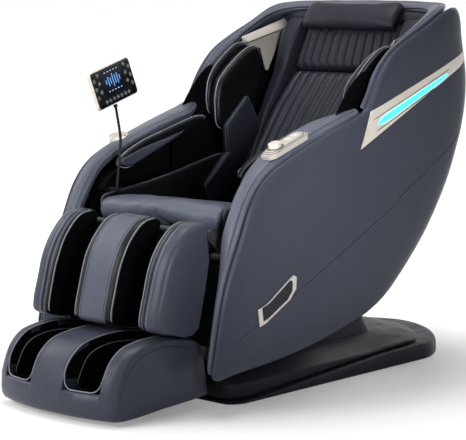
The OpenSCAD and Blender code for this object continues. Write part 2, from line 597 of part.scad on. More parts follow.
module wing_liners() color([0.06, 0.06, 0.07]) both_sides()
  slab(liner_x, inner_x, curve(tall([[222, 806], [254, 852], [282, 902], [332, 952], [392, 994],
    [452, 1026], [520, 1052], [590, 1062], [636, 1050], [668, 960], [640, 850], [560, 760],
    [440, 700], [320, 690], [240, 740], [222, 806]]), 1));
module arm_pads_upper() color([0.45, 0.47, 0.52]) both_sides()
  side_cushion([[-246, 650], [-236, 642], [-196, 639], [-116, 669], [-6, 711], [129, 766], [110, 778],
    [60, 770], [-60, 738], [-150, 712], [-226, 676]], arm_x - gap, arm_x - 26, 3);
module arm_pads_lower() color([0.08, 0.08, 0.09]) both_sides()
  side_cushion([[-302, 524], [-304, 558], [-253, 568], [-158, 580], [-5, 606], [108, 631], [216, 650],
    [228, 620], [190, 560], [60, 512], [-100, 508], [-220, 516]], arm_x - gap, arm_x - 20, 3);
module shoulder_pads_outer() color([0.09, 0.1, 0.12]) both_sides()
  side_cushion(tall([[197, 820], [199, 850], [208, 888], [242, 934], [310, 984], [352, 1000], [388, 992],
    [416, 925], [406, 850], [350, 780], [260, 765], [210, 780]]), liner_x - gap, liner_x - 26, 3);
module shoulder_pads_inner() color([0.09, 0.1, 0.12]) both_sides()
  side_cushion(tall([[200, 790], [201, 840], [222, 890], [285, 945], [352, 984], [396, 986], [418, 945],
    [406, 880], [374, 812], [325, 752], [262, 724], [210, 740]]), liner_x - 29.3, liner_x - 66, 4);
module wing_trims() color([0.8, 0.74, 0.66]) both_sides() {
  x1 = liner_x - gap;
  slab(x1 - 7, x1, tall([[402, 1004], [410, 992], [600, 1052], [596, 1066]]));
  slab(x1 - 4, x1, tall([[420, 992], [470, 985], [500, 915], [520, 925], [590, 1046]]));
}
// Wedge on the outer side of each wing
wedge_pts = tall([[186, 817], [669, 980], [674, 950], [634, 932], [136, 708]]);
// Distance from the panel's middle to its edge along direction d
function edge_along(d) = min([for (i = [0:len(outline) - 1]) let (
  a = outline[i] - panel_c, e = outline[(i + 1) % len(outline)] - outline[i], k = cross(d, e),
  t = cross(a, e) / k, u = cross(a, d) / k) t > 0 && u >= 0 && u <= 1 ? t : 1e4]);
// x of the panel's outer face at a point of the side view
function crown_x(p) = let (d = unit(p - panel_c), edge = edge_along(d), s = norm(p - panel_c) / edge)
  lerp(skin_x(panel_c + d * edge), half_w, lookup(s, crown_rows));
wedge_lift = 2.1;                      // clear of the panel
wedge_t = 2.5;
wedge_ridge = 2;                       // rise of the ridge along the wedge
module wedge_trim() {
  n = 10;
  rows = 4;
  top = [for (i = [0:n]) lerp(wedge_pts[0], wedge_pts[1], i / n)];
  low = [for (i = [0:n]) i == n ? wedge_pts[2] : lerp(wedge_pts[4], wedge_pts[3], i / (n - 1))];
  rings = [for (i = [0:n]) let (
      face = [for (j = [0:rows]) let (q = lerp(top[i], low[i], j / rows))
        [crown_x(q) + wedge_lift + wedge_ridge * (1 - abs(2 * j / rows - 1)), q.x, q.y]])
    concat(face, [for (j = [rows:-1:0]) face[j] + [wedge_t, 0, 0]])];
  loft(rings);
}
module wedge_trims() color([0.78, 0.74, 0.68]) both_sides() wedge_trim();
led_pts = tall([[215, 780], [566, 912]]);
led_half_w = 6;                        // half width of the light strip
led_t = 2.5;
module led_strips() color([0.25, 0.85, 0.95]) both_sides() {
  d = unit(led_pts[1] - led_pts[0]);
  nn = [-d.y, d.x] * led_half_w;
  rings = [for (i = [0:6]) let (
      p = lerp(led_pts[0], led_pts[1], i / 6),
      x = crown_x(p) + wedge_lift + wedge_ridge + wedge_t + gap)
    [[x, p.x - nn.x, p.y - nn.y], [x, p.x + nn.x, p.y + nn.y],
      [x + led_t, p.x + nn.x * 0.6, p.y + nn.y * 0.6], [x + led_t, p.x - nn.x * 0.6, p.y - nn.y * 0.6]]];
  loft(rings);
}
emblem_pts = [[-310, 241], [-317, 290], [-278, 303], [-168, 371], [-153, 364], [-155, 331], [-182, 302],
  [-286, 247]];
module side_emblems() color([0.78, 0.74, 0.68]) both_sides() {
  c = mean2(emblem_pts);
  x = half_w + gap;
  difference() {
    slab(x, x + 4, emblem_pts);
    slab(x + 1.5, x + 5, [for (p = emblem_pts) toward(p, c, 0.8)]);
  }
}

// ---- shell: back and seat pads -------------------------------------------------------
seam_at = 6.3;                         // place of the seam between the two ribbed pads
upper_path = stretch_of(pad_line, seam_at + 0.02, 8.7, 6);
lower_path = stretch_of(pad_line, 0.3, seam_at - 0.02, 13);
bolster_path = stretch_of(pad_line, 4.3, 8.72, 13);
// Half width of the lower ribbed pad along its path: widest in the middle
function lower_half(j) = rib_half_w + lookup(j, [[0, -12], [3, 6], [7, 26], [9, 36], [13, 33]]);
function upper_half(j) = rib_half_w + lookup(j, [[0, 32], [6, 10]]);
function sides_of(w) = [-w, w];
module back_pad_upper() color([0.2, 0.22, 0.27])
  path_cushion(upper_path, [for (j = [0:6]) sides_of(upper_half(j))], back_pad_t, rib_count, rib_depth,
    32, 6);
module back_pad_lower() color([0.2, 0.22, 0.27])
  path_cushion(lower_path, [for (j = [0:13]) sides_of(lower_half(j))], back_pad_t, rib_count, rib_depth,
    32, 6);
bolster_out = liner_x - 40;
function bolster_in(j) = rib_half_w + 4 + lookup(j, [[0, 40], [5, 34], [13, 10]]);
function bolster_t(j) = back_pad_t + lookup(j, [[0, -6], [3, 6], [6, 18], [9, 24], [13, 22]]);
module back_bolsters() color([0.17, 0.19, 0.24]) both_sides()
  path_cushion(bolster_path, [for (j = [0:13]) [bolster_in(j), bolster_out]],
    [for (j = [0:13]) bolster_t(j)], 0, 0, 8, 2, 12);
// Side view of the seat cushion: rolled front, top and rear, then its underside on the pan
seat_top = [[-290, 491], [-307, 497], [-321, 509], [-328, 527], [-327, 546], [-318, 560], [-303, 568],
  [-284, 569], [-250, 561], [-200, 549], [-79, 534], [30, 514], [120, 502], [160, 496], [173, 485],
  [174, 466], [150, 444]];
seat_ring = concat(seat_top, [seat_under[3], seat_under[1]]);
module seat_pad() color([0.3, 0.32, 0.37]) {
  c = [-60, 500];
  hw = arm_x - 26;
  rings = [for (u = [-1, -0.985, -0.95, -0.8, -0.5, -0.2, 0.2, 0.5, 0.8, 0.95, 0.985, 1]) let (
      e = pow(1 - pow(abs(u), 6), 0.5), s = 0.9 + 0.1 * e)
    [for (p = seat_ring) [u * hw, c.x + (p.x - c.x) * (0.985 + 0.015 * e),
      c.y + (p.y - c.y) * (p.y > c.y ? s : 0.94 + 0.06 * e)]]];
  loft(rings);
}
module hip_pads() color([0.13, 0.14, 0.17]) both_sides()
  side_cushion([[322, 822], [312, 830], [300, 822], [222, 750], [214, 738], [212, 720], [216, 662],
    [211, 650], [126, 568], [118, 554], [122, 542], [144, 506], [156, 500], [170, 507], [274, 570],
    [290, 583], [334, 638], [342, 652], [362, 736], [364, 756]], arm_x - 21.4, arm_x - 44, 3, 1);
module neck_roll() color([0.2, 0.21, 0.25]) {
  c = [606, lift(1080)];
  rings = [for (u = [-1, -0.98, -0.9, -0.5, 0, 0.5, 0.9, 0.98, 1])
    let (r = 11 * pow(1 - pow(abs(u), 8), 0.3) + 4)
    [for (a = [0:30:330]) [u * (liner_x - 2 * gap), c.x + r * cos(a), c.y + r * sin(a)]]];
  loft(rings);
}
// Rear face of the pillow, clear of the pads behind it
pillow_path = curve(tall([[552, 1039.5], [566, 1064.5], [582, 1085.5], [599, 1101.5], [610, 1110]]), 2);
module head_pillow() color([0.22, 0.23, 0.28])
  path_cushion(pillow_path, [for (p = pillow_path) sides_of(pillow_w / 2)], pillow_t - 14, 0, 0, 20, 5, 10);

// ---- shell: controls ----------------------------------------------------------------
plate_at = [-132, 734];                // middle of the control plate on the right arm
plate_rise = 18.5;                     // slope of the arm there
plate_x = 326;
module on_arm(x) translate([x, plate_at.x, plate_at.y]) rotate([plate_rise, 0, 0]) children();
plate_outline = [[-16, -90], [14, -90], [25, -72], [25, 70], [12, 90], [-16, 90], [-25, 76], [-25, -72]];
plate_t = 8;                           // lower tier
tier_t = 5;                            // upper tier
plate_deep = 8;                        // part of the lower tier that is let into the cap
module control_plate() color([0.82, 0.77, 0.7]) on_arm(plate_x) difference() {
  union() {
    translate([0, 0, -plate_deep]) linear_extrude(plate_deep + plate_t) polygon(plate_outline);
    translate([0, 0, plate_t]) linear_extrude(tier_t) polygon([for (p = plate_outline) p * 0.86]);
  }
  translate([0, -44, plate_t - 2]) cylinder(h = 10, r = 5 + run_gap, $fn = 40);
  for (y = [6, 36]) translate([-12, y, plate_t]) cube([24, 22, 8]);
}
module control_knob() color([0.85, 0.8, 0.72]) on_arm(plate_x) translate([0, -44, plate_t + tier_t - 9]) {
  translate([0, 0, 3.4]) cylinder(h = 8, r = 5, $fn = 40);
  difference() {
    rotate_extrude($fn = 64) polygon([[0, 9.4], [knob_d / 2, 9.4], [knob_d / 2, 11], [knob_d / 2 - 2, 21],
      [knob_d / 2 - 4, 23], [0, 23]]);
    translate([-knob_d / 2, -3, 21]) cube([knob_d / 2 - 3, 6, 4]);
  }
}
module key_at(y) on_arm(plate_x) translate([0, y, 0]) difference() {
  translate([-11.5, 0.5, plate_t + 1.4]) cube([23, 21, 5.2]);
  translate([0, 11, plate_t + 10.6]) rotate([90, 0, 0]) cylinder(h = 30, r = 5, center = true, $fn = 32);
}
module control_key_a() color([0.8, 0.75, 0.68]) key_at(6);
module control_key_b() color([0.8, 0.75, 0.68]) key_at(36);
pad_r = 31;                            // round charging pad on the left arm
pad_at = [-8, -33, -2];
module charging_pad() color([0.82, 0.77, 0.7]) mirror([1, 0, 0]) on_arm(plate_x)
  translate(pad_at) difference() {
    rotate_extrude($fn = 64) polygon([[0, -8], [pad_r, -8], [pad_r, 1], [pad_r - 3, 4], [0, 4]]);
    translate([0, 0, 3]) cylinder(h = 4, r = pad_r - 7, $fn = 64);
  }
module air_pump() color([0.15, 0.15, 0.17]) {
  difference() {
    union() {
      translate([shell_x - gap - 80, -210, 330]) cube([80, 150, 60]);
      translate([shell_x - 44, -61, 360]) rotate([-90, 0, 0]) cylinder(h = 31, r = 20, $fn = 40);
    }
    for (y = [-190:24:-80]) translate([shell_x - 86, y, 342]) cube([8, 12, 36]);
  }
}
stem_at = [-238, -258, 560];           // where the remote's stem starts in the side view
module remote_bracket() color([0.12, 0.12, 0.13]) difference() {
  translate([-arm_x - 22, stem_at.y - 10, 570.4]) cube([arm_x + 22 + stem_at.x + 8, 20, 10]);
  translate([stem_at.x, stem_at.y, 573]) cylinder(h = 12, r = stem_r + run_gap, $fn = 32);
}
leg_act_z = leg_at.y - 47;             // height of the leg actuator's axis
module leg_actuator() color([0.3, 0.31, 0.33]) {
  difference() {
    union() {
      translate([0, -238, leg_act_z]) rotate([-90, 0, 0]) cylinder(h = 150, r = 17, $fn = 48);
      translate([-20, -120, leg_act_z - 36])
        cube([40, 60, level(seat_under, -60) - pan_t - 2 * gap - leg_act_z + 36]);
    }
    translate([0, -239, leg_act_z]) rotate([-90, 0, 0]) cylinder(h = 130, r = 8 + run_gap, $fn = 40);
  }
}
module leg_rod() color([0.75, 0.76, 0.78]) {
  y = leg_at.x + 37.7;
  translate([0, y + 24, leg_act_z]) rotate([-90, 0, 0]) cylinder(h = 164, r = 8, $fn = 40);
  translate([-4, y - 8, leg_act_z - 8]) cube([8, 34, 16]);
  rod_x(-17, 17, y, leg_act_z, 5);
}

// ---- massage carriage -----------------------------------------------------------------
module in_carriage(x0, x1) { in_rail_plane(x0, x1) children(); }
module massage_carriage() color([0.3, 0.3, 0.33]) {
  // side plates with bearing bores, in rail coordinates (along, up)
  both_sides() difference() {
    in_carriage(118, 124) polygon([[-58, -12], [-50, 14], [50, 14], [58, -12], [40, -96], [-40, -96]]);
    in_carriage(117, 125) circle(r = shaft_r + run_gap, $fn = 48);
  }
  // guide rollers' pins and rollers, fixed together
  both_sides() in_carriage(124, 148) for (a = [-42, 42]) translate([a, 0]) circle(r = roller_r, $fn = 40);
  // motor and gearbox behind the shaft
  in_carriage(-118 + gap, 118 - gap) polygon([[-36, -60], [36, -60], [36, -92], [-36, -92]]);
  in_carriage(-60, 60) translate([0, -76]) circle(r = 20, $fn = 40);
}
module knead_heads() color([0.75, 0.7, 0.6]) {
  in_carriage(-134, 134) circle(r = shaft_r, $fn = 48);
  for (x = [-74, 74]) {
    in_carriage(x - 14, x + 14) translate([10 * sign(x), 0]) circle(r = 34, $fn = 48);
    in_carriage(x - 12, x + 12) translate([(knead_r - 22) * sign(x), 0]) circle(r = 22, $fn = 48);
    in_carriage(x - 12, x + 12) translate([(knead_r - 26) * -sign(x), 0]) circle(r = 18, $fn = 48);
  }
}

// ---- leg rest, in coordinates down the leg (s) and out to the front (w) -----------------
function leg_yz(s, w) = [leg_at.x - s * sin(leg_tilt) - w * cos(leg_tilt),
  leg_at.y - s * cos(leg_tilt) + w * sin(leg_tilt)];
function leg_pts(pts) = [for (p = pts) leg_yz(p[0], p[1])];
calf_half = calf_w / 2;
shell_half = calf_half - 32;           // the shell and its side arms stay inside the outer ridges
calf_front = [[-27, 38], [-24, 56], [4, 100], [72, 134], [139, 145], [216, 141], [284, 133], [306, 116],
  [304, 70]];
seat_w_line = 25;                      // where the ridges stand on the calf shell
tube_x = 40;                           // telescopic tubes of the foot rest
tube_r = 9;
tube_w = -64.4;
tube_end = 330;
module down_leg(s0, s1, w, x, r) {
  p = leg_yz(s0, w);
  translate([x, p.x, p.y]) rotate([180 - leg_tilt, 0, 0]) cylinder(h = s1 - s0, r = r, $fn = 40);
}
slot_r = 8;
slot_ends = [0.76, 1.02];              // ends of the crank's slot, as shares of the pin's offset
crank_pin = [37.7, -47];               // where the leg rod pushes, from the pivot
module calf_frame() color([0.28, 0.28, 0.31]) {
  difference() {
    union() {
      rod_x(-lug_x + 8, lug_x - 8, leg_at.x, leg_at.y, torque_r, 48);
      // side arms down to the calf shell
      both_sides() across(shell_half + gap, shell_half + gap + 6) polygon(leg_pts([[-10, -12], [-12, 4],
        [-4, 16], [60, 20], [200, 6], [200, -16], [60, -24]]));
    }
    both_sides() rod_x(lug_x - 36, lug_x, leg_at.x, leg_at.y, leg_pin_r + run_gap);
  }
  // sleeves that the foot rest's tubes slide in
  for (x = [-tube_x, tube_x]) difference() {
    down_leg(200, 262, tube_w, x, 14);
    down_leg(190, 272, tube_w, x, tube_r + run_gap);
  }
  // slotted cranks that the leg rod pushes
  both_sides() difference() {
    across(6, 12) polygon([leg_at + [2, -10], leg_at + [8, -10], leg_at + [48, -46], leg_at + [52, -62],
      leg_at + [30, -58], leg_at + [-8, -12]]);
    across(5, 13) {
      for (k = slot_ends) translate(leg_at + crank_pin * k) circle(r = slot_r, $fn = 32);
      polygon([for (v = [[0, 1], [1, 1], [1, -1], [0, -1]])
        leg_at + crank_pin * slot_ends[v[0]] + unit([-crank_pin.y, crank_pin.x]) * slot_r * v[1]]);
    }
  }
}
calf_back = [[52, -34], [110, -50], [276, -50], [286, -38], [290, 20]];
module calf_shell() color([0.1, 0.11, 0.13]) {
  well = (calf_half - outer_ridge_w - ridge_w / 2);
  mid = ridge_w / 2 + well / 2;
  xs = [-shell_half, -calf_half + outer_ridge_w, -mid - well * 0.3, -mid, -mid + well * 0.3, -ridge_w / 2,
    ridge_w / 2, mid - well * 0.3, mid, mid + well * 0.3, calf_half - outer_ridge_w, shell_half];
  rings = [for (x = xs) let (dip = 22 * pow(clamp01(1 - abs(abs(x) - mid) / (well / 2)), 0.6))
    at_x(x, leg_pts(concat(calf_back, [for (s = [270, 200, 120, 60]) [s, seat_w_line - dip]],
      [[38, 18 - dip * 0.7]])))];
  loft(rings);
}
ridge_foot = seat_w_line + gap;        // where a ridge starts on the calf shell
// Ridge cushion: side profile of the calf, rounded over its width; wrap[i] 1 folds it round the side
module calf_ridge(xs, wrap, hollow) {
  far = [[292, ridge_foot], [240, ridge_foot], [150, ridge_foot], [60, ridge_foot], [-14, ridge_foot]];
  side = [[290, -32], [240, -26], [150, -20], [70, -8], [16, 21]];
  front = curve(calf_front, 2);
  c = [140, ridge_foot];
  rings = [for (i = [0:len(xs) - 1]) let (e = hollow[i])
    at_x(xs[i], leg_pts(concat(
      [for (p = front) [c.x + (p[0] - c.x) * (0.955 + 0.045 * e), c.y + (p[1] - c.y) * (0.88 + 0.12 * e)]],
      [for (k = [0:len(far) - 1]) wrap[i] > 0 ? side[k] : far[k]])))];
  loft(rings);
}
function bulge_over(n) = [for (i = [0:n]) pow(max(0, 1 - pow(abs(2 * i / n - 1), 5)), 0.5)];
module calf_pad_middle() color([0.4, 0.42, 0.48])
  calf_ridge([for (i = [0:10]) lerp(-ridge_w / 2, ridge_w / 2, i / 10)], [for (i = [0:10]) 0],
    bulge_over(10));
fold_x = shell_half + 6 + 2 * gap;      // the outer ridge folds round the side arm here
module calf_pads_outer() color([0.25, 0.27, 0.32]) both_sides() {
  x0 = calf_half - outer_ridge_w;
  calf_ridge([x0, x0 + 6, x0 + 18, x0 + 34, fold_x, fold_x + 0.6, calf_half - 12, calf_half - 4, calf_half],
    [0, 0, 0, 0, 0, 1, 1, 1, 1], [0, 0.6, 0.93, 1, 1, 1, 0.95, 0.6, 0]);
}

// Foot rest, written in floor coordinates
foot_half = foot_w / 2;
foot_ridge = [[-727, 93], [-712, 134], [-690, 172], [-652, 203], [-600, 216], [-540, 220], [-470, 212],
  [-404, 196], [-378, 172]];
foot_well = [[-727, 84], [-720, 88], [-708, 84], [-690, 62], [-640, 52], [-540, 56], [-440, 66],
  [-412, 110], [-404, 172]];
foot_bottom = [[-362, 80], [-358, 40], [-372, 30], [-540, 19], [-690, 11], [-722, 24], [-729, 48]];
foot_in = 62;                          // inner edge of each well
foot_out = 196;                        // outer edge of each well
function in_well(x) = smooth01((x - foot_in) / 4) * smooth01((foot_out - x) / 4);
function bow(x) = 40 * (1 - pow(x / foot_half, 2.4));
function pull(x) = x > foot_half - 20 ? pow((x - foot_half + 20) / 20, 2) : 0;
function section(x) = let (w = in_well(x), e = pull(x),
    top = [for (i = [0:len(foot_ridge) - 1]) lerp(foot_ridge[i], foot_well[i], w)],
    all = concat(top, foot_bottom), c = [-560, 110])
  [for (p = all) let (q = toward(p, c, 1 - 0.05 * e)) [q.x - bow(x) * smooth01((-q.x - 500) / 230), q.y]];
roller_at = [-540, 50];                // shaft of the sole rollers
roller_x0 = 84;
roller_x1 = 172;
module foot_shell() color([0.15, 0.17, 0.21]) {
  xs = [0, 30, 50, foot_in, foot_in + 4, 96, 128, 162, foot_out - 4, foot_out, foot_out + 14,
    foot_half - 12, foot_half - 3, foot_half];
  rings = concat([for (i = [len(xs) - 1:-1:1]) at_x(-xs[i], section(xs[i]))],
    [for (x = xs) at_x(x, section(x))]);
  difference() {
    loft(rings);
    both_sides() {
      rod_x(roller_x0 - 6, roller_x1 + 6, roller_at.x, roller_at.y, 24);
      rod_x(roller_x0 - 13, roller_x1 + 13, roller_at.x, roller_at.y, 5.2 + run_gap);
    }
    for (x = [-tube_x, tube_x]) down_leg(150, tube_end + gap, tube_w, x, tube_r + gap);
  }
}
module foot_pads() color([0.3, 0.32, 0.38]) {
  // soft lips inside the wells: one on each side of each well
  both_sides() for (side = [[foot_in + 4 + gap, 11], [foot_out - 4 - gap, -11]])
    side_cushion([[-706, 84], [-700, 128], [-672, 168], [-628, 188], [-560, 194], [-480, 186],
      [-430, 160], [-424, 110], [-470, 80], [-600, 72]], side[0], side[0] + side[1], 1);
}
module foot_tubes() color([0.6, 0.61, 0.65])
  for (x = [-tube_x, tube_x]) down_leg(110, tube_end, tube_w, x, tube_r);
module foot_rollers() color([0.7, 0.66, 0.58]) both_sides() {
  for (x = [92, 118, 144]) translate([x + 6, roller_at.x, roller_at.y]) rotate([0, 90, 0])
    rotate_extrude($fn = 48) polygon([[5, -9], [15, -9], [19, -4], [19, 4], [15, 9], [5, 9]]);
  rod_x(roller_x0 - 12.5, roller_x1 + 12.5, roller_at.x, roller_at.y, 5.2);
}

// ---- remote control --------------------------------------------------------------------
tablet_at = [-245, -268, 894];
stem_r = 4;
tablet_turn = [97, -10, -14];          // facing across the chair, tipped back and rolled
pin_at = [-16, -tablet_h / 2 - 7];     // hinge pin, across and up from the tablet's middle
hinge_r = 5;
hinge_pin_r = 2;
// The hinge pin in chair coordinates
function tablet_pin() = let (a = tablet_turn[0], b = tablet_turn[1], c = tablet_turn[2],
  x1 = pin_at.x * cos(c) + pin_at.y * sin(c), z1 = -pin_at.x * sin(c) + pin_at.y * cos(c),
  y2 = -z1 * sin(b), z2 = z1 * cos(b))
  tablet_at + [x1 * cos(a) - y2 * sin(a), x1 * sin(a) + y2 * cos(a), z2];
module remote_stem() color([0.2, 0.2, 0.22]) {
  way = [[0, 0, 13.4], [0, 0, 22], [0, 0, 30], [0, 5, 66], [0, 14, 140], [0, 15, 176], [2, 2, 232]];
  pts = curve(concat([for (w = way) stem_at + w], [tablet_pin() - [0, -1, 4]]), 2);
  n = len(pts) - 1;
  rings = [for (i = [0:n]) let (d = unit(pts[min(i + 1, n)] - pts[max(i - 1, 0)]),
      a = unit(cross(d, [1, 0, 0])), b = cross(d, a))
    [for (t = [0:36:324]) pts[i] + (a * cos(t) + b * sin(t)) * stem_r]];
  difference() {
    union() {
      loft(rings);
      on_tablet() rod_x(pin_at.x - 4.7, pin_at.x + 4.7, 0, pin_at.y, hinge_r, 32);
    }
    on_tablet() rod_x(pin_at.x - 6, pin_at.x + 6, 0, pin_at.y, hinge_pin_r + run_gap, 32);
  }
}
module on_tablet() translate(tablet_at) rotate([0, 0, tablet_turn[0]]) rotate([tablet_turn[1], 0, 0])
  rotate([0, tablet_turn[2], 0]) children();
module rounded_plate(w, h, t, r) {
  translate([0, 0, 0]) rotate([90, 0, 0]) linear_extrude(t) {
    square([w - 2 * r, h], center = true);
    square([w, h - 2 * r], center = true);
    for (x = [-1, 1]) for (y = [-1, 1]) translate([x * (w / 2 - r), y * (h / 2 - r)]) circle(r = r, $fn = 32);
  }
}
module remote_tablet() color([0.8, 0.77, 0.72]) on_tablet() {
  translate([0, tablet_t / 2, 0]) rounded_plate(tablet_w, tablet_h, tablet_t - 3, 12);
  translate([0, -tablet_t / 2 + 3 - gap / 4, 0]) rounded_plate(tablet_w - 8, tablet_h - 8, 3 - gap / 4, 9);
  // hinge lugs and pin under the lower edge
  for (x = [pin_at.x - 8.2, pin_at.x + 5.2]) across(x, x + 3) translate([0, pin_at.y]) {
    circle(r = hinge_r, $fn = 32);
    translate([-hinge_r, 0]) square([2 * hinge_r, 8]);
  }
  rod_x(pin_at.x - 8, pin_at.x + 8, 0, pin_at.y, hinge_pin_r, 32);
}

base_plate();
base_cover();
base_frame();
pivot_brackets();
neck_cover();
tilt_actuator();
power_box();
rubber_feet();
tilt_rod();
transport_wheels();
power_rocker();
seat_frame();
back_frame();
massage_rails();
bottom_cover();
rear_cover();
side_panel_l();
side_panel_r();
arm_cap_l();
arm_cap_r();
arm_liner_l();
arm_liner_r();
hood_rim();
wing_liners();
arm_pads_upper();
arm_pads_lower();
shoulder_pads_outer();
shoulder_pads_inner();
wing_trims();
wedge_trims();
led_strips();
side_emblems();
back_bolsters();
back_pad_upper();
back_pad_lower();
seat_pad();
hip_pads();
neck_roll();
control_plate();
charging_pad();
air_pump();
remote_bracket();
leg_actuator();
head_pillow();
massage_carriage();
knead_heads();
calf_frame();
calf_shell();
calf_pad_middle();
calf_pads_outer();
foot_shell();
foot_pads();
foot_tubes();
foot_rollers();
leg_rod();
remote_stem();
remote_tablet();
control_knob();
control_key_a();
control_key_b();
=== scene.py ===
"""Looks of the massage chair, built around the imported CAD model.

Outlines are written in millimetres in the side view (Y to the rear, Z up).
build() makes metres of them.
The front is -Y, +X is to the right as seen from the front.
"""

import json
import math

import bmesh
import bpy
import numpy as np
from mathutils import Matrix, Vector, noise
from mathutils.bvhtree import BVHTree


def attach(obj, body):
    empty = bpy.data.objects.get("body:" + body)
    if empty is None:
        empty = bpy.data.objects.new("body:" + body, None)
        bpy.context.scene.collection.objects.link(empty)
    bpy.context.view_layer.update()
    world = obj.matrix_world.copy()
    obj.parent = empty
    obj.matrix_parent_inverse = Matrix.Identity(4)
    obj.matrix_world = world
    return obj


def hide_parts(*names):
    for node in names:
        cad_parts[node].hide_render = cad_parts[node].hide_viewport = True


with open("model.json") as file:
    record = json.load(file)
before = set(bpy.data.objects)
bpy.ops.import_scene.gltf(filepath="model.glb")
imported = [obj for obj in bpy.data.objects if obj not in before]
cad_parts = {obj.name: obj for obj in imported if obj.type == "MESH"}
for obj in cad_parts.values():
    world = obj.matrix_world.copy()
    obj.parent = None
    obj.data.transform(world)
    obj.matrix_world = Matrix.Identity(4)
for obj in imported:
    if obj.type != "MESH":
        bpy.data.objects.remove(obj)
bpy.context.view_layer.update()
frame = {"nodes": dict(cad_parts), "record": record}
MM = 0.001
SCENE = bpy.context.scene


# ---- numbers shared with the CAD ------------------------------------------------------
HALF_W, EDGE_X, TUCK_X = 385.0, 368.0, 335.0
PANEL_T, GAP, ARM_X = 12.0, 0.4, 264.0
INNER_X = TUCK_X - PANEL_T - GAP
LINER_X = INNER_X - 8
CAP_OUT = EDGE_X - PANEL_T - 3 * GAP
PANEL_C, WALL_IN = np.array([120.0, 600.0]), 0.978
PANEL = [[-460, 108], [-471, 160], [-431, 347], [-370, 484], [-319, 590], [-251, 660], [-136, 713],
         [6, 762], [122, 798], [178, 822], [209, 866], [248, 928], [305, 983], [387, 1026],
         [481, 1066], [596, 1116], [654, 1098], [690, 1020], [712, 930], [715, 862], [704, 784],
         [671, 688], [608, 562], [497, 414], [349, 276], [249, 214], [118, 172], [-110, 127],
         [-366, 104]]
CROWN_ROWS = [[1, 0], [0.985, 0.3], [0.95, 0.58], [0.88, 0.82], [0.72, 0.95], [0.42, 1]]
ARM_SEAMS = [[-457, 122, -398, 124, 0.30], [-467, 165, -398, 165, 0.32],
             [-428, 347, -374, 342, 0.34], [-367, 484, -364, 488, 0.30],
             [-316, 588, -316, 586, 0.27], [-249, 657, -254, 660, 0.22],
             [-136, 710, -144, 718, 0.02], [6, 759, 2, 766, -0.04], [106, 790, 90, 786, 0.02],
             [164, 810, 171, 806, 0.42]]
RIM_SEAMS = [[0, 182, 824, -16, 206, 822], [0, 209, 864, -27, 241, 855],
             [0, 248, 926, -28, 264, 906], [0, 305, 981, -28, 321, 962],
             [0, 387, 1024, -28, 386, 1010], [0, 481, 1065, -30, 456, 1050],
             [-2, 554, 1099, -38, 520, 1082], [-10, 598, 1116, -56, 568, 1098],
             [-34, 632, 1122, -84, 592, 1104], [-84, 650, 1126, -120, 602, 1107]]
RIM_BACK = [[150, 662, 1129, 150, 612, 1108], [0, 665, 1130, 0, 614, 1109]]
PAD_LINE = [[214, 512], [262, 552], [318, 606], [368, 664], [430, 734], [492, 802], [548, 874],
            [580, 945], [606, 1012], [630, 1066]]
REAR_LINE = [[646, 1100], [672, 1012], [690, 925], [692, 862], [681, 790], [648, 696], [586, 574],
             [478, 432], [342, 302], [274, 250]]
LEG_AT = (-368.0, 492.0)
LEG_TILT = math.radians(20)
CALF_HALF, OUTER_RIDGE_W, RIDGE_W = 264.0, 80.0, 154.0
FOOT_HALF, FOOT_IN, FOOT_OUT = 239.0, 62.0, 196.0
SIDES = (("r", 1.0), ("l", -1.0))


# ---- small maths ----------------------------------------------------------------------
def lerp(a, b, t):
    return a + (b - a) * t


def smooth01(t):
    c = np.clip(t, 0, 1)
    return c * c * (3 - 2 * c)


def cubic(a, b, c, d, t):
    return 0.5 * (2 * b + (c - a) * t + (2 * a - 5 * b + 4 * c - d) * t * t
                  + (3 * b - a - 3 * c + d) * t ** 3)


def curve(points, n):
    """Smooth line through open points, n steps to each span."""
    p = np.asarray(points, float)
    m = len(p)
    rows = [cubic(p[max(i - 1, 0)], p[i], p[i + 1], p[min(i + 2, m - 1)], j / n)
            for i in range(m - 1) for j in range(n)]
    return np.array(rows + [p[-1]])


def ring(points, n):
    """Smooth line through points that close on themselves."""
    p = np.asarray(points, float)
    m = len(p)
    return np.array([cubic(p[i - 1], p[i], p[(i + 1) % m], p[(i + 2) % m], j / n)
                     for i in range(m) for j in range(n)])


def stretch_of(points, stops):
    """Points of the smooth line at the given places along it."""
    p = np.asarray(points, float)
    m = len(p)
    rows = []
    for t in stops:
        i = min(int(math.floor(t)), m - 2)
        rows.append(cubic(p[max(i - 1, 0)], p[i], p[i + 1], p[min(i + 2, m - 1)], t - i))
    return np.array(rows)


def path_normals(path):
    d = np.gradient(path, axis=0)
    d /= np.linalg.norm(d, axis=1)[:, None]
    return np.stack([-d[:, 1], d[:, 0]], 1)


def at_x(x, pts):
    pts = np.asarray(pts, float)
    return np.column_stack([np.full(len(pts), float(x)), pts])


def dense_ends(n):
    """Places from -1 to 1, closer together near both ends."""
    inner = np.linspace(-0.94, 0.94, n)
    tail = np.array([0.965, 0.98, 0.99, 0.996, 1.0])
    return np.concatenate([-tail[::-1], inner, tail])


def middle(pts):
    pts = np.asarray(pts, float)
    return (pts.min(0) + pts.max(0)) / 2


# ---- materials ------------------------------------------------------------------------
def srgb(r, g, b):
    return tuple(((v / 255) / 12.92 if v <= 10 else ((v / 255 + 0.055) / 1.055) ** 2.4)
                 for v in (r, g, b))


def new_node(tree, kind, **values):
    """A node whose inputs or settings are given by name."""
    node = tree.nodes.new(kind)
    for key, value in values.items():
        if key in node.inputs:
            node.inputs[key].default_value = value
        else:
            setattr(node, key, value)
    return node


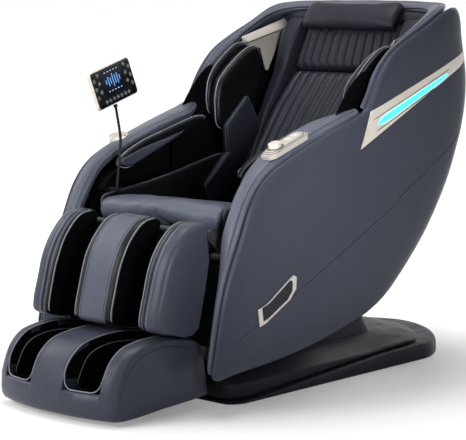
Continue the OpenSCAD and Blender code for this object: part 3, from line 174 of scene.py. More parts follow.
class Nodes:
    """A material's node tree with short calls."""

    def __init__(self, name):
        self.mat = bpy.data.materials.new(name)
        self.mat.use_nodes = True
        self.tree = self.mat.node_tree
        self.bsdf = self.tree.nodes["Principled BSDF"]
        self.coord = self.add("ShaderNodeTexCoord").outputs["Object"]

    def add(self, kind, **values):
        return new_node(self.tree, kind, **values)

    def link(self, a, b):
        self.tree.links.new(a, b)

    def shader(self, name, value):
        """Sets an input of the shader to a value, or feeds it from a node's output."""
        if isinstance(value, bpy.types.NodeSocket):
            self.link(value, self.bsdf.inputs[name])
        else:
            self.bsdf.inputs[name].default_value = value

    def noise(self, scale, detail=3.0, stretch=None):
        node = self.add("ShaderNodeTexNoise", Scale=scale, Detail=detail, Roughness=0.55)
        source = self.coord
        if stretch:
            mapping = self.add("ShaderNodeMapping", Scale=stretch)
            self.link(source, mapping.inputs["Vector"])
            source = mapping.outputs["Vector"]
        self.link(source, node.inputs["Vector"])
        return node.outputs["Fac"]

    def cells(self, scale):
        node = self.add("ShaderNodeTexVoronoi", Scale=scale, feature="DISTANCE_TO_EDGE")
        self.link(self.coord, node.inputs["Vector"])
        return node.outputs["Distance"]

    def ramp(self, value, low, high, a=0.3, b=0.7):
        node = self.add("ShaderNodeValToRGB")
        node.color_ramp.elements[0].position = a
        node.color_ramp.elements[1].position = b
        node.color_ramp.elements[0].color = (*low, 1)
        node.color_ramp.elements[1].color = (*high, 1)
        self.link(value, node.inputs["Fac"])
        return node.outputs["Color"]

    def span(self, value, low, high, a=0.3, b=0.7):
        node = self.add("ShaderNodeMapRange")
        for i, v in enumerate((a, b, low, high)):
            node.inputs[i + 1].default_value = v
        self.link(value, node.inputs["Value"])
        return node.outputs["Result"]

    def maths(self, kind, a, b):
        node = self.add("ShaderNodeMath", operation=kind)
        for i, v in enumerate((a, b)):
            if isinstance(v, (int, float)):
                node.inputs[i].default_value = v
            else:
                self.link(v, node.inputs[i])
        return node.outputs[0]

    def bump(self, height, strength, distance):
        node = self.add("ShaderNodeBump", Strength=strength, Distance=distance)
        self.link(height, node.inputs["Height"])
        self.link(node.outputs["Normal"], self.bsdf.inputs["Normal"])


def tones(n, colour, spread, scale=7.0):
    low = tuple(c * (1 - spread) for c in colour)
    high = tuple(c * (1 + spread) for c in colour)
    n.shader("Base Color", n.ramp(n.noise(scale, 4), low, high))


# Threads of the lining and twists of the cord, and what a wave texture's scale counts them in
THREADS, TWISTS, WAVE_TURN = 950.0, 520.0, 6.283


def leather(name, colour, rough, grain, depth, spread=0.09, *, level):
    """Fine-grained artificial leather: small cells, softer folds, roughness that varies."""
    n = Nodes(name)
    tones(n, colour, spread)
    n.shader("Roughness", n.span(n.noise(38, 4), rough - 0.05, rough + 0.07))
    cell = n.span(n.cells(grain), 0.0, 1.0, 0.0, 0.16)
    fold = n.noise(90, 5)
    n.bump(n.maths("ADD", n.maths("MULTIPLY", cell, 0.5), fold), depth, 0.0006)
    n.shader("Specular IOR Level", level)
    return n.mat


def fabric(name, colour):
    """Woven lining: two crossing sets of threads, dull, with almost no shine."""
    n = Nodes(name)
    waves = []
    for axis in ("Y", "Z"):
        w = n.add("ShaderNodeTexWave", Scale=THREADS / WAVE_TURN, Distortion=0.6,
                  bands_direction=axis)
        n.link(n.coord, w.inputs["Vector"])
        waves.append(w.outputs["Fac"])
    weave = n.maths("MULTIPLY", waves[0], waves[1])
    low, high = tuple(c * 0.8 for c in colour), tuple(c * 1.3 for c in colour)
    n.shader("Base Color", n.ramp(n.noise(24, 3), low, high))
    n.shader("Roughness", 0.82)
    n.shader("Specular IOR Level", 0.04)
    n.bump(weave, 0.35, 0.0005)
    return n.mat


def plastic(name, colour, rough=0.4, texture=1400.0, depth=0.06, spread=0.06, level=0.3):
    """Moulded plastic with a fine spark-eroded texture."""
    n = Nodes(name)
    tones(n, colour, spread, 5.0)
    n.shader("Roughness", n.span(n.noise(22, 5), rough - 0.05, rough + 0.08))
    n.bump(n.noise(texture, 2), depth, 0.0004)
    n.shader("Specular IOR Level", level)
    return n.mat


def metal(name, colour, rough=0.28, stretch=(40, 1400, 1400), metallic=1.0, depth=0.05):
    """Brushed metal, or a metal paint where metallic is below 1."""
    n = Nodes(name)
    tones(n, colour, 0.05, 9.0)
    brushed = n.noise(1.0, 3, stretch)
    n.shader("Roughness", n.span(brushed, rough - 0.06, rough + 0.08))
    n.shader("Metallic", metallic)
    n.bump(brushed, depth, 0.0003)
    return n.mat


def rope(name, colour):
    """Twisted piping: light cord with slanting strands."""
    n = Nodes(name)
    w = n.add("ShaderNodeTexWave", Scale=TWISTS / WAVE_TURN, Distortion=0.3,
              bands_direction="DIAGONAL")
    n.link(n.coord, w.inputs["Vector"])
    low, high = tuple(c * 0.6 for c in colour), tuple(c * 1.15 for c in colour)
    n.shader("Base Color", n.ramp(w.outputs["Fac"], low, high, 0.2, 0.8))
    n.shader("Roughness", 0.5)
    n.bump(w.outputs["Fac"], 0.5, 0.0008)
    return n.mat


def glowing(name, colour, strength):
    n = Nodes(name)
    n.shader("Emission Color", n.ramp(n.noise(60, 2), tuple(c * 0.94 for c in colour), colour))
    n.shader("Base Color", (*colour, 1))
    n.shader("Emission Strength", strength)
    n.shader("Roughness", n.span(n.noise(45, 3), 0.22, 0.34))
    return n.mat


MATS = {
    "navy_shell": leather("navy_shell", srgb(60, 63, 76), 0.33, 900, 0.05, 0.05, level=0.1),
    "navy_leather": leather("navy_leather", srgb(62, 65, 78), 0.33, 520, 0.16, level=0.2),
    "charcoal": leather("charcoal", srgb(34, 36, 44), 0.36, 520, 0.2, level=0.12),
    "grey_leather": leather("grey_leather", srgb(82, 86, 100), 0.34, 520, 0.16, level=0.2),
    "black_leather": leather("black_leather", srgb(11, 12, 15), 0.3, 520, 0.2, level=0.15),
    "black_fabric": fabric("black_fabric", srgb(6, 6, 8)),
    "champagne": metal("champagne", srgb(212, 204, 193), 0.3, (60, 1100, 1100), 0.35),
    # A copy of the champagne metal whose colour and gloss were set to how light falls on the wing
    # bars, control plate and charging disc: painted light and shade; the emblem frames use it too.
    "champagne_bright": metal("champagne_bright", srgb(188, 182, 174), 0.22, (30, 500, 500), 0.3),
    "dark_plastic": plastic("dark_plastic", srgb(31, 34, 40), 0.38, level=0.06),
    "frame_steel": plastic("frame_steel", srgb(52, 53, 58), 0.46, 900, 0.1),
    "rail_steel": metal("rail_steel", srgb(176, 178, 184), 0.34, (1200, 60, 60)),
    "bright_rod": metal("bright_rod", srgb(206, 207, 212), 0.18, (1200, 40, 40)),
    "drive_housing": metal("drive_housing", srgb(120, 123, 130), 0.45, (300, 300, 300), 0.6, 0.12),
    "massage_head": plastic("massage_head", srgb(168, 158, 140), 0.5, 700, 0.1),
    "foot_rubber": plastic("foot_rubber", srgb(24, 24, 26), 0.75, 500, 0.2),
    "led_lens": glowing("led_lens", srgb(58, 224, 240), 1.0),
    # The halo round each LED strip glows though it is no lamp: painted glow of the strip's light on
    # the champagne trim.
    "led_halo": glowing("led_halo", srgb(176, 228, 232), 0.55),
    "switch_red": plastic("switch_red", srgb(176, 34, 30), 0.35),
    "tablet_case": metal("tablet_case", srgb(214, 205, 193), 0.32, (900, 60, 60), 0.3),
    "seam_dark": plastic("seam_dark", srgb(12, 13, 16), 0.6, 600, 0.2),
    "piping": rope("piping", srgb(132, 136, 148)),
    # A darker copy of the same rope piping: painted shade on the piping of the lower arm pads, hip
    # pads, lower back channels, bolsters and foot pads.
    "piping_dim": rope("piping_dim", srgb(84, 87, 98)),
    "thread": plastic("thread", srgb(112, 115, 128), 0.55, 900, 0.2),
    "glass_black": plastic("glass_black", srgb(14, 15, 18), 0.2, 60, 0.01, 0.04),
    "screen_dark": plastic("screen_dark", srgb(8, 16, 40), 0.2, 60, 0.01),
    "icon_blue": glowing("icon_blue", srgb(96, 150, 206), 0.5),
    "icon_white": glowing("icon_white", srgb(214, 226, 236), 0.55),
    "button_grey": plastic("button_grey", srgb(150, 154, 162), 0.35),
}


# ---- mesh tools -----------------------------------------------------------------------
def build(name, verts, faces, mat, body, slot, node=None, angle=42, fill=None, swell=None):
    """A piece from points in millimetres: merged, faced outward, smooth up to the given angle."""
    mesh = bpy.data.meshes.new(name)
    mesh.from_pydata((np.asarray(verts, float) * MM).tolist(), [], [list(f) for f in faces])
    bm = bmesh.new()
    bm.from_mesh(mesh)
    bmesh.ops.remove_doubles(bm, verts=bm.verts, dist=2e-6)
    bmesh.ops.recalc_face_normals(bm, faces=bm.faces)
    bm.to_mesh(mesh)
    bm.free()
    obj = bpy.data.objects.new(name, mesh)
    SCENE.collection.objects.link(obj)
    for m in (mat if isinstance(mat, (list, tuple)) else [mat]):
        mesh.materials.append(MATS[m])
    shade(obj, angle)
    if swell:
        swell(obj)
        shade(obj, angle)
    if node:
        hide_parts(node)
    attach(obj, body)
    return obj


def shade(obj, angle):
    obj.data.polygons.foreach_set("use_smooth", [True] * len(obj.data.polygons))
    obj.data.set_sharp_from_angle(angle=math.radians(angle))


def loft(rings, loop=False):
    """Points and faces through a row of rings with the same number of points."""
    r = np.asarray(rings, float)
    k, m = r.shape[:2]
    faces = []
    for j in range(k if loop else k - 1):
        a, b = j * m, ((j + 1) % k) * m
        faces += [(a + i, a + (i + 1) % m, b + (i + 1) % m, b + i) for i in range(m)]
    if not loop:
        faces += [list(range(m - 1, -1, -1)), [(k - 1) * m + i for i in range(m)]]
    return r.reshape(-1, 3), faces


def paint(obj, test):
    """Picks each face's material: test(centre in mm, normal) gives its number."""
    for p in obj.data.polygons:
        p.material_index = int(test(p.center / MM, p.normal))


def coords(obj):
    co = np.zeros(len(obj.data.vertices) * 3)
    obj.data.vertices.foreach_get("co", co)
    return co.reshape(-1, 3)


def put(obj, co):
    obj.data.vertices.foreach_set("co", np.asarray(co).ravel())
    obj.data.update()


def ripple(obj, amount, size, seed):
    """Slow unevenness of padded leather: moves points along their normals, in millimetres."""
    for v, n in zip(obj.data.vertices, [v.normal.copy() for v in obj.data.vertices]):
        q = v.co / (size * MM) + Vector((seed, seed * 1.7, seed * 0.6))
        v.co += n * noise.noise(q) * amount * MM
    obj.data.update()


def rippled(amount, size, seed):
    return lambda obj: ripple(obj, amount, size, seed)


def apply_all(obj):
    deps = bpy.context.evaluated_depsgraph_get()
    mesh = bpy.data.meshes.new_from_object(obj.evaluated_get(deps))
    obj.modifiers.clear()
    obj.data = mesh


def subdivide(obj):
    mod = obj.modifiers.new("sub", "SUBSURF")
    mod.levels = mod.render_levels = 1
    apply_all(obj)


CLOTH_PRESSURE, CLOTH_FRAMES, CLOTH_TENSION = 3.0, 12, 12.0


def puff(cap, voxel, hold=None):
    """Returns the cloth pass of a cushion: remesh, inflate, limit the move to cap, subdivide."""
    def run(obj):
        mod = obj.modifiers.new("voxels", "REMESH")
        mod.mode, mod.voxel_size = "VOXEL", voxel * MM
        apply_all(obj)
        relax = obj.modifiers.new("relax", "SMOOTH")
        relax.factor, relax.iterations = 0.5, 3
        apply_all(obj)
        rest = coords(obj)
        cloth = obj.modifiers.new("cloth", "CLOTH")
        s = cloth.settings
        s.use_pressure, s.uniform_pressure_force = True, CLOTH_PRESSURE
        s.effector_weights.gravity = 0
        s.quality, s.mass = 4, 0.25
        s.tension_stiffness = s.compression_stiffness = CLOTH_TENSION
        s.shrink_min = -0.02
        if hold:
            group = obj.vertex_groups.new(name="held")
            for i, co in enumerate(rest / MM):
                w = hold(co)
                if w > 0:
                    group.add([i], w, "REPLACE")
            s.vertex_group_mass = "held"
        cloth.point_cache.frame_start, cloth.point_cache.frame_end = 1, CLOTH_FRAMES
        for f in range(1, CLOTH_FRAMES + 1):
            SCENE.frame_set(f)
        deps = bpy.context.evaluated_depsgraph_get()
        moved = np.zeros(len(rest) * 3)
        obj.evaluated_get(deps).data.vertices.foreach_get("co", moved)
        obj.modifiers.clear()
        move = moved.reshape(-1, 3) - rest
        size = np.linalg.norm(move, axis=1, keepdims=True)
        limit = cap * MM
        put(obj, rest + move * np.minimum(1, limit / np.maximum(size, 1e-9)))
        obj.vertex_groups.clear()
        SCENE.frame_set(1)
        subdivide(obj)
    return run


def tube(name, path, radius, mat, body, slot, closed=False, sides=8):
    """Round piping along a line of points in millimetres."""
    p = np.asarray(path, float)
    n = len(p)
    d = np.roll(p, -1, 0) - np.roll(p, 1, 0) if closed else np.gradient(p, axis=0)
    d /= np.maximum(np.linalg.norm(d, axis=1), 1e-9)[:, None]
    side = np.cross(d[0], [1.0, 0.0, 0.0])
    if np.linalg.norm(side) < 0.2:
        side = np.cross(d[0], [0.0, 0.0, 1.0])
    side /= np.linalg.norm(side)
    rings = []
    for i in range(n):
        side = side - d[i] * side.dot(d[i])
        side /= np.linalg.norm(side)
        up = np.cross(d[i], side)
        r = radius if closed or 0 < i < n - 1 else radius * 0.55
        rings.append([p[i] + (side * math.cos(a) + up * math.sin(a)) * r
                      for a in np.linspace(0, 2 * math.pi, sides, endpoint=False)])
    return build(name, *loft(rings, loop=closed), mat, body, slot, angle=60)


def resample(path, step):
    """The same line with points a given distance apart."""
    p = np.asarray(path, float)
    s = np.concatenate([[0], np.cumsum(np.linalg.norm(np.diff(p, axis=0), axis=1))])
    stops = np.linspace(0, s[-1], max(int(s[-1] / step), 1) + 1)
    return np.column_stack([np.interp(stops, s, p[:, k]) for k in range(3)])


def surface_of(*objs):
    """A ray-casting tree over finished pieces, in the row frame."""
    verts, faces = [], []
    for o in objs:
        base = len(verts)
        verts += [v.co.copy() for v in o.data.vertices]
        faces += [[base + i for i in p.vertices] for p in o.data.polygons]
    return BVHTree.FromPolygons(verts, faces)


def drop(tree, pts, direction, reach=160.0):
    """Points in mm moved along direction on to a surface; returns points and normals found."""
    d = Vector(direction).normalized()
    spots, normals = [], []
    for p in pts:
        start = (Vector(p) - d * reach) * MM
        hit, normal, _, _ = tree.ray_cast(start, d, 2 * reach * MM)
        if hit is not None:
            spots.append(np.array(hit) / MM)
            normals.append(np.array(normal if normal.dot(d) < 0 else -normal))
    return np.array(spots), np.array(normals)


STITCH_L, STITCH_STEP, STITCH_R = 4.2, 6.6, 0.55


def stitches(name, spots, normals, body, shift):
    """A row of small thread stitches that lie on a surface along a line."""
    s = np.concatenate([[0], np.cumsum(np.linalg.norm(np.diff(spots, axis=0), axis=1))])
    verts, faces = [], []
    for at in np.arange(STITCH_STEP / 2, s[-1], STITCH_STEP):
        p = np.array([np.interp(at, s, spots[:, k]) for k in range(3)])
        q = np.array([np.interp(min(at + 1, s[-1]), s, spots[:, k]) for k in range(3)])
        n = np.array([np.interp(at, s, normals[:, k]) for k in range(3)])
        if np.linalg.norm(q - p) < 1e-6:
            continue
        d = (q - p) / np.linalg.norm(q - p)
        side = np.cross(n, d)
        side /= max(np.linalg.norm(side), 1e-9)
        p = p + side * shift + n * 0.25
        base = len(verts)
        verts += [p - d * STITCH_L / 2, p + side * STITCH_R, p + n * STITCH_R,
                  p - side * STITCH_R, p - n * STITCH_R, p + d * STITCH_L / 2]
        for a, b in ((1, 2), (2, 3), (3, 4), (4, 1)):
            faces += [(base, base + b, base + a), (base + 5, base + a, base + b)]
    return build(name, verts, faces, "thread", body, "grey_leather", angle=80)


def seam(name, spots, normals, body, slot, radius, sink, thread=()):
    """A sewn line: a thin sunk cord, and a row of stitches beside it at each offset in thread."""
    tube(name, spots - normals * sink, radius, "seam_dark", body, slot, sides=6)
    for k, shift in enumerate(thread):
        stitches(f"{name}.stitch{k}", spots, normals, body, shift)


def drop_each(tree, pts, normals, reach, s=1.0):
    """Points dropped one by one against their own normals, on the left where s is -1."""
    found = [drop(tree, [p * [s, 1, 1]], -(n * [s, 1, 1]), reach) for p, n in zip(pts, normals)]
    return [np.array([f[k][0] for f in found if len(f[0])]) for k in (0, 1)]


def merged(shapes):
    """Points and faces of several shapes as one."""
    verts, faces = [], []
    for v, f in shapes:
        base = len(verts)
        verts += v.tolist()
        faces += [[base + i for i in g] for g in f]
    return verts, faces


def side_cushion(pts, x_back, x_front, crown, steps):
    """Cushion with its outline in the side view: flat at x_back, crowned at x_front."""
    o = ring(pts, steps)
    c = middle(o)
    t = x_front - x_back
    shape = curve([[0.9, 0], [0.965, 0.03], [0.99, 0.12], [1, 0.34], [0.998, 0.55], [0.985, 0.72],
                   [0.955, 0.86], [0.9, 0.95], [0.8, 0.985], [0.65, 1], [0.4, 1], [0.12, 1]], 2)
    rings = []
    for s, d in shape:
        over = crown * np.sign(t) * (1 - s) * (1.4 if d > 0.9 else 1.4 * smooth01((d - 0.6) / 0.3))
        rings.append(at_x(x_back + t * d + over, c + (o - c) * s))
    return loft(rings)


def path_cushion(path, x0, x1, thick, ribs, depth, cols, edge, v, swell=0.0, sharp=8):
    """Cushion that lies on a side-view path, with sewn channels along it."""
    n = len(path)
    nn = path_normals(path)
    u = np.unique(np.concatenate([np.linspace(-1, 1, cols + 1), [-0.995, -0.985, -0.97, 0.97, 0.985,
                                                                  0.995]]))
    side = np.maximum(0, 1 - np.abs(u) ** (2 * edge)) ** 0.5
    rings = []
    for j in range(n):
        cx = (x0[j] + x1[j]) / 2
        ends = max(0.0, 1 - abs(v[j]) ** sharp) ** 0.5
        tuck = 1 - 0.06 * (1 - ends)
        full = thick[j] * (0.45 + 0.55 * ends) + swell * (1 - v[j] ** 2)
        line = np.abs(np.cos(math.pi / 2 * ribs * (u + 1))) if ribs else 0 * u
        groove = depth * (0.3 * line ** 5 + 0.7 * line ** 30)
        h = full * (0.5 + 0.5 * side) - groove * side * ends
        x = cx + (lerp(x0[j], x1[j], (u + 1) / 2) - cx) * tuck
        front = np.column_stack([x, path[j][0] + nn[j][0] * h, path[j][1] + nn[j][1] * h])
        back = [[cx + (x1[j] - cx) * tuck, *path[j]], [cx + (x0[j] - cx) * tuck, *path[j]]]
        rings.append(np.vstack([front, back]))
    return loft(rings)


# ---- side panels ----------------------------------------------------------------------
def tuck_side(p):
    """0 on the panel's front and top edge, 1 on its rear and bottom edge."""
    q = np.asarray(p, float) - [-480, 150]
    return smooth01(0.15 - (0.75 * q[..., 1] - 0.66 * q[..., 0]) / 170)


def skin_x(p):
    return lerp(EDGE_X, TUCK_X, tuck_side(p))


def side_panels():
    outline = ring(PANEL, 8)
    skin = skin_x(outline)
    rows = curve(CROWN_ROWS, 4)
    pieces = {}
    for tag, s in SIDES:
        rings = []
        for scale, crown in [[0.16, 1], [0.3, 1]] + rows[::-1].tolist():
            q = PANEL_C + (outline - PANEL_C) * scale
            rings.append(np.column_stack([lerp(skin, HALF_W, crown), q]))
        for scale, drop_x in ((1.0, 2.0), (0.998, 5.0), (0.988, 10.0), (0.97, 11.5), (0.9, 8.0)):
            q = PANEL_C + (outline - PANEL_C) * scale
            rings.append(np.column_stack([skin - drop_x, q]))
        verts, faces = loft(np.array(rings) * [s, 1, 1])
        pieces[tag] = build(f"side_shell_{tag}", verts, faces, "navy_shell", "shell", "navy_shell",
                            f"side_panel_{tag}", angle=50)
    return pieces


# Long sewn crease that runs across each side panel, front to rear
CREASE = [[-404, 205], [-300, 252], [-127, 326], [-20, 375], [99, 431], [200, 479], [289, 521],
          [362, 567], [450, 612], [539, 660], [610, 700], [668, 741]]


def panel_seams(panels):
    line = curve(CREASE, 8)
    for tag, s in SIDES:
        tree = surface_of(panels[tag])
        spots, normals = drop(tree, at_x(s * 400, line), (-s, 0, 0))
        seam(f"side_seam_{tag}", spots, normals, "shell", "navy_shell", 1.5, 0.5, (-4.0,))


# ---- arm bands and hood rim -----------------------------------------------------------
def band(rows, crown, deep, steps):
    """Padded strip between an outer and an inner seam; rows hold both seams' points."""
    v = curve(rows, steps)
    o, q = v[:, :3], v[:, 3:]
    mids = (o + q) / 2
    d = np.gradient(mids, axis=0)
    nn = np.cross(d, q - o) * [0.3, 1, 1]
    nn /= np.linalg.norm(nn, axis=1)[:, None]
    arcs = curve([[0, 0], [0.03, 0.34], [0.1, 0.66], [0.28, 0.94], [0.5, 1], [0.72, 0.94],
                  [0.9, 0.66], [0.97, 0.34], [1, 0]], 2)
    rings = np.concatenate([
        [lerp(o, q, a) + nn * crown * c for a, c in arcs],
        [lerp(o, q, 0.9) - nn * deep, lerp(o, q, 0.1) - nn * deep]])
    return rings.transpose(1, 0, 2), o, q, nn


def arm_rows():
    rows = []
    for y0, z0, y1, z1, t in ARM_SEAMS:
        x0 = float(skin_x([y0, z0])) - PANEL_T - 3 * GAP
        rows.append([x0, y0, z0, lerp(ARM_X, HALF_W, t), y1, z1])
    return rows


def rim_rows():
    half = [[CAP_OUT + a, b, c, CAP_OUT + d, e, f] for a, b, c, d, e, f in RIM_SEAMS] + RIM_BACK
    other = [[-a, b, c, -d, e, f] for a, b, c, d, e, f in half[-2::-1]]
    return half + other


def arm_bands():
    rings, o, q, nn = band(arm_rows(), 17, 14, 8)
    sewn = {1: (1.2, (-3.2, 3.2)), 2: (1.0, (-2.8,))}
    for tag, s in SIDES:
        cap = build(f"arm_band_{tag}", *loft(rings * [s, 1, 1]), "grey_leather", "shell",
                    "grey_leather", f"arm_cap_{tag}", fill=0.8, swell=rippled(1.0, 60, 3.0))
        tree = surface_of(cap)
        for k, share in enumerate((0.03, 0.17, 0.86, 0.985)):
            line = lerp(o, q, share) + nn * 40
            spots, normals = drop_each(tree, line[2:-1], nn[2:-1], 60, s)
            name = f"arm_band_seam{k}_{tag}"
            if k in sewn:
                radius, thread = sewn[k]
                seam(name, spots, normals, "shell", "grey_leather", radius, 0.4, thread)
            else:
                tube(name, spots + normals * 0.6, 2.6, "grey_leather", "shell", "grey_leather")


def hood():
    rings, o, q, nn = band(rim_rows(), 12, 9, 7)
    rim = build("hood_band", *loft(rings), "grey_leather", "shell", "grey_leather", "hood_rim",
                fill=0.8, swell=rippled(0.8, 70, 5.0))
    tree = surface_of(rim)
    for k, share in enumerate((0.05, 0.3, 0.95)):
        line = lerp(o, q, share) + nn * 30
        spots, normals = drop_each(tree, line[1:-1], nn[1:-1], 50)
        if k == 1:
            seam("hood_seam", spots, normals, "shell", "grey_leather", 1.2, 0.4, (3.0,))
        else:
            tube(f"hood_piping{k}", spots + normals * 0.5, 2.3,
                 "grey_leather" if k == 0 else "seam_dark", "shell", "grey_leather")


# ---- cushions in the arms and wings ------------------------------------------------------
ARM_UPPER = [[-246, 650], [-236, 642], [-196, 639], [-116, 669], [-6, 711], [129, 766], [110, 778],
             [60, 770], [-60, 738], [-150, 712], [-226, 676]]
ARM_FACE = [[-237, 664], [-238, 653], [-228, 646], [-196, 645], [-116, 675], [-20, 712], [34, 738],
            [-50, 718], [-146, 696], [-212, 674]]
ARM_LOWER = [[-302, 524], [-304, 558], [-253, 568], [-158, 580], [-5, 606], [108, 631], [216, 650],
             [228, 620], [190, 560], [60, 512], [-100, 508], [-220, 516]]
SHOULDER_OUT = [[197, 820], [199, 850], [208, 888], [242, 934], [310, 984], [352, 1000], [388, 992],
                [416, 925], [406, 850], [350, 780], [260, 765], [210, 780]]
SHOULDER_IN = [[200, 790], [201, 840], [222, 890], [285, 945], [352, 984], [396, 986], [418, 945],
               [406, 880], [374, 812], [325, 752], [262, 724], [210, 740]]
HIP = [[322, 822], [312, 830], [300, 822], [222, 750], [214, 738], [212, 720], [216, 662],
       [211, 650], [126, 568], [118, 554], [122, 542], [144, 506], [156, 500], [170, 507],
       [274, 570], [290, 583], [334, 638], [342, 652], [362, 736], [364, 756]]


LINING = [[70, 560], [60, 700], [120, 830], [230, 930], [330, 900], [330, 700], [240, 590],
          [150, 540]]


def wing_lining():
    """Dark sheet inside each wing, behind the arm channel."""
    o = ring(LINING, 6)
    c = middle(o)
    for tag, s in SIDES:
        rings = [at_x(s * x, c + (o - c) * k) for k, x in
                 ((0.5, LINER_X - 1), (1, LINER_X - 1), (1, LINER_X + 2), (0.5, LINER_X + 2))]
        build(f"wing_lining_{tag}", *loft(rings), "black_fabric", "shell", "black_fabric")


def edge_piping(name, pts, steps, x, body, mat, radius):
    tube(name, at_x(x, ring(pts, steps)), radius, mat, body, "grey_leather", closed=True)


def wing_cushions():
    table = [
        ("arm_pad_upper", ARM_UPPER, ARM_X - GAP, ARM_X - 26, 3, "black_leather", "grey_leather",
         "arm_pads_upper", 5, "piping", 1.5),
        ("arm_pad_lower", ARM_LOWER, ARM_X - GAP, ARM_X - 20, 3, "black_leather", "black_fabric",
         "arm_pads_lower", 5, "piping_dim", 1.5),
        ("shoulder_pad_outer", SHOULDER_OUT, LINER_X - GAP, LINER_X - 26, 3, "black_leather",
         "navy_leather", "shoulder_pads_outer", 5, "piping", 1.8),
        ("shoulder_pad_inner", SHOULDER_IN, LINER_X - 29.3, LINER_X - 66, 4, "black_leather",
         "navy_leather", "shoulder_pads_inner", 5, "piping", 1.8),
        ("hip_pad", HIP, ARM_X - 21.4, ARM_X - 44, 3, "charcoal", "navy_leather", "hip_pads", 3,
         "piping_dim", 1.2),
    ]
    for name, pts, xb, xf, crown, mat, slot, node, steps, pipe, wave in table:
        for tag, s in SIDES[::-1]:
            verts, faces = side_cushion(pts, xb, xf, crown, steps)
            build(f"{name}_{tag}", verts * [s, 1, 1], faces, mat, "shell", slot, node, fill=0.6,
                  swell=rippled(wave, 55, 1.0 + s))
            if name == "arm_pad_upper":
                verts, faces = side_cushion(ARM_FACE, xb - 16, xf - 5, 2.5, 4)
                build(f"arm_face_{tag}", verts * [s, 1, 1], faces, "navy_leather", "shell", slot,
                      node, fill=0.4)
                # The right arm's upper pad gets black piping where the left arm's is light: painted
                # shade.
                if s > 0:
                    pipe = "black_leather"
            edge_piping(f"{name}_piping_{tag}", pts, steps, s * lerp(xb, xf, 0.62), "shell", pipe,
                         1.0 if name == "hip_pad" else 1.9)


# ---- seat and back ---------------------------------------------------------------------
SEAM_AT = 6.3
BACK_T, RIBS, RIB_DEPTH, RIB_HALF = 52.0, 12, 6.5, 184.0


def along(v, table):
    x = [p[0] for p in table]
    return np.interp(v, x, [p[1] for p in table])


def back_pads():
    """The ribbed back in two blocks, the upper one first."""
    pads = []
    for name, cols, a, b, span, widths, wave in (
            ("upper", 26, SEAM_AT + 0.02, 8.7, 6, [[0, 32], [6, 10]], (0.9, 40, 2.0)),
            ("lower", 46, 0.3, SEAM_AT - 0.02, 13, [[0, -12], [3, 6], [7, 26], [9, 36], [13, 33]],
             (1.2, 46, 7.0))):
        v = dense_ends(cols)
        path = stretch_of(PAD_LINE, lerp(a, b, (v + 1) / 2))
        half = RIB_HALF + along((v + 1) / 2 * span, widths)
        verts, faces = path_cushion(path, -half, half, 0 * v + BACK_T, RIBS, RIB_DEPTH, 144, 6, v)
        pads.append(build(f"back_{name}", verts, faces, "charcoal", "shell", "navy_leather",
                          f"back_pad_{name}", fill=0.7, swell=rippled(*wave)))
    return pads


def rib_lines(upper, lower):
    """Piping in the sewn channels of the lower block, thread in those of the upper one."""
    face_dir = (0, 0.755, -0.656)
    for piece, a, b, table, name, lift, radius, mat in (
            (lower, 0.9, SEAM_AT - 0.14, [[0.3, -12], [1.7, 6], [3.6, 26], [4.5, 36], [6.3, 33]],
             "low", 0.2, 1.5, "piping_dim"),
            (upper, SEAM_AT + 0.12, 8.45, [[6.3, 32], [8.7, 10]], "up", -0.2, 1.0, "seam_dark")):
        tree = surface_of(piece)
        at = np.linspace(a, b, 40)
        path = stretch_of(PAD_LINE, at)
        half = RIB_HALF + along(at, table)
        for k in range(1, RIBS):
            pts = np.column_stack([half * (2 * k / RIBS - 1), path])
            spots, normals = drop(tree, pts - np.array(face_dir) * 60, face_dir, 120)
            tube(f"rib_line_{name}{k}", spots + normals * lift, radius, mat, "shell",
                 "navy_leather", sides=6)


def bolsters():
    v = dense_ends(44)
    at = lerp(1.2, 8.9, (v + 1) / 2)
    path = stretch_of(PAD_LINE, at)
    x0 = RIB_HALF + along(at, [[1.2, 6], [2.5, 18], [3.6, 31], [4.3, 42], [6.0, 38], [8.9, 13]])
    x1 = along(at, [[1.2, ARM_X - 6], [4.1, ARM_X - 4], [5, LINER_X - 40], [9, LINER_X - 36]])
    thick = along(at, [[1.2, 20], [3, 30], [4.3, 46], [5.3, 58], [6.4, 70], [7.4, 76], [8.9, 72]])
    for tag, s in SIDES:
        verts, faces = path_cushion(path, x0, x1, thick, 0, 0, 16, 3, v, swell=4)
        build(f"back_bolster_{tag}", verts * [s, 1, 1], faces, "charcoal", "shell",
              "navy_leather", "back_bolsters", fill=0.7, swell=rippled(1.6, 60, 4.0 + s))
        edge = path + path_normals(path) * (thick * 0.86)[:, None]
        line = np.column_stack([s * (x1 - 1.5), edge])[8:-6]
        tube(f"bolster_piping_{tag}", line, 1.6, "piping_dim", "shell", "navy_leather", sides=6)


SEAT_RING = [[-290, 491], [-307, 497], [-321, 509], [-328, 527], [-327, 546], [-318, 560],
             [-303, 568], [-284, 569], [-250, 561], [-200, 549], [-79, 534], [30, 514], [120, 502],
             [160, 496], [173, 485], [174, 466], [150, 444], [60, 454], [-60, 468], [-200, 484]]


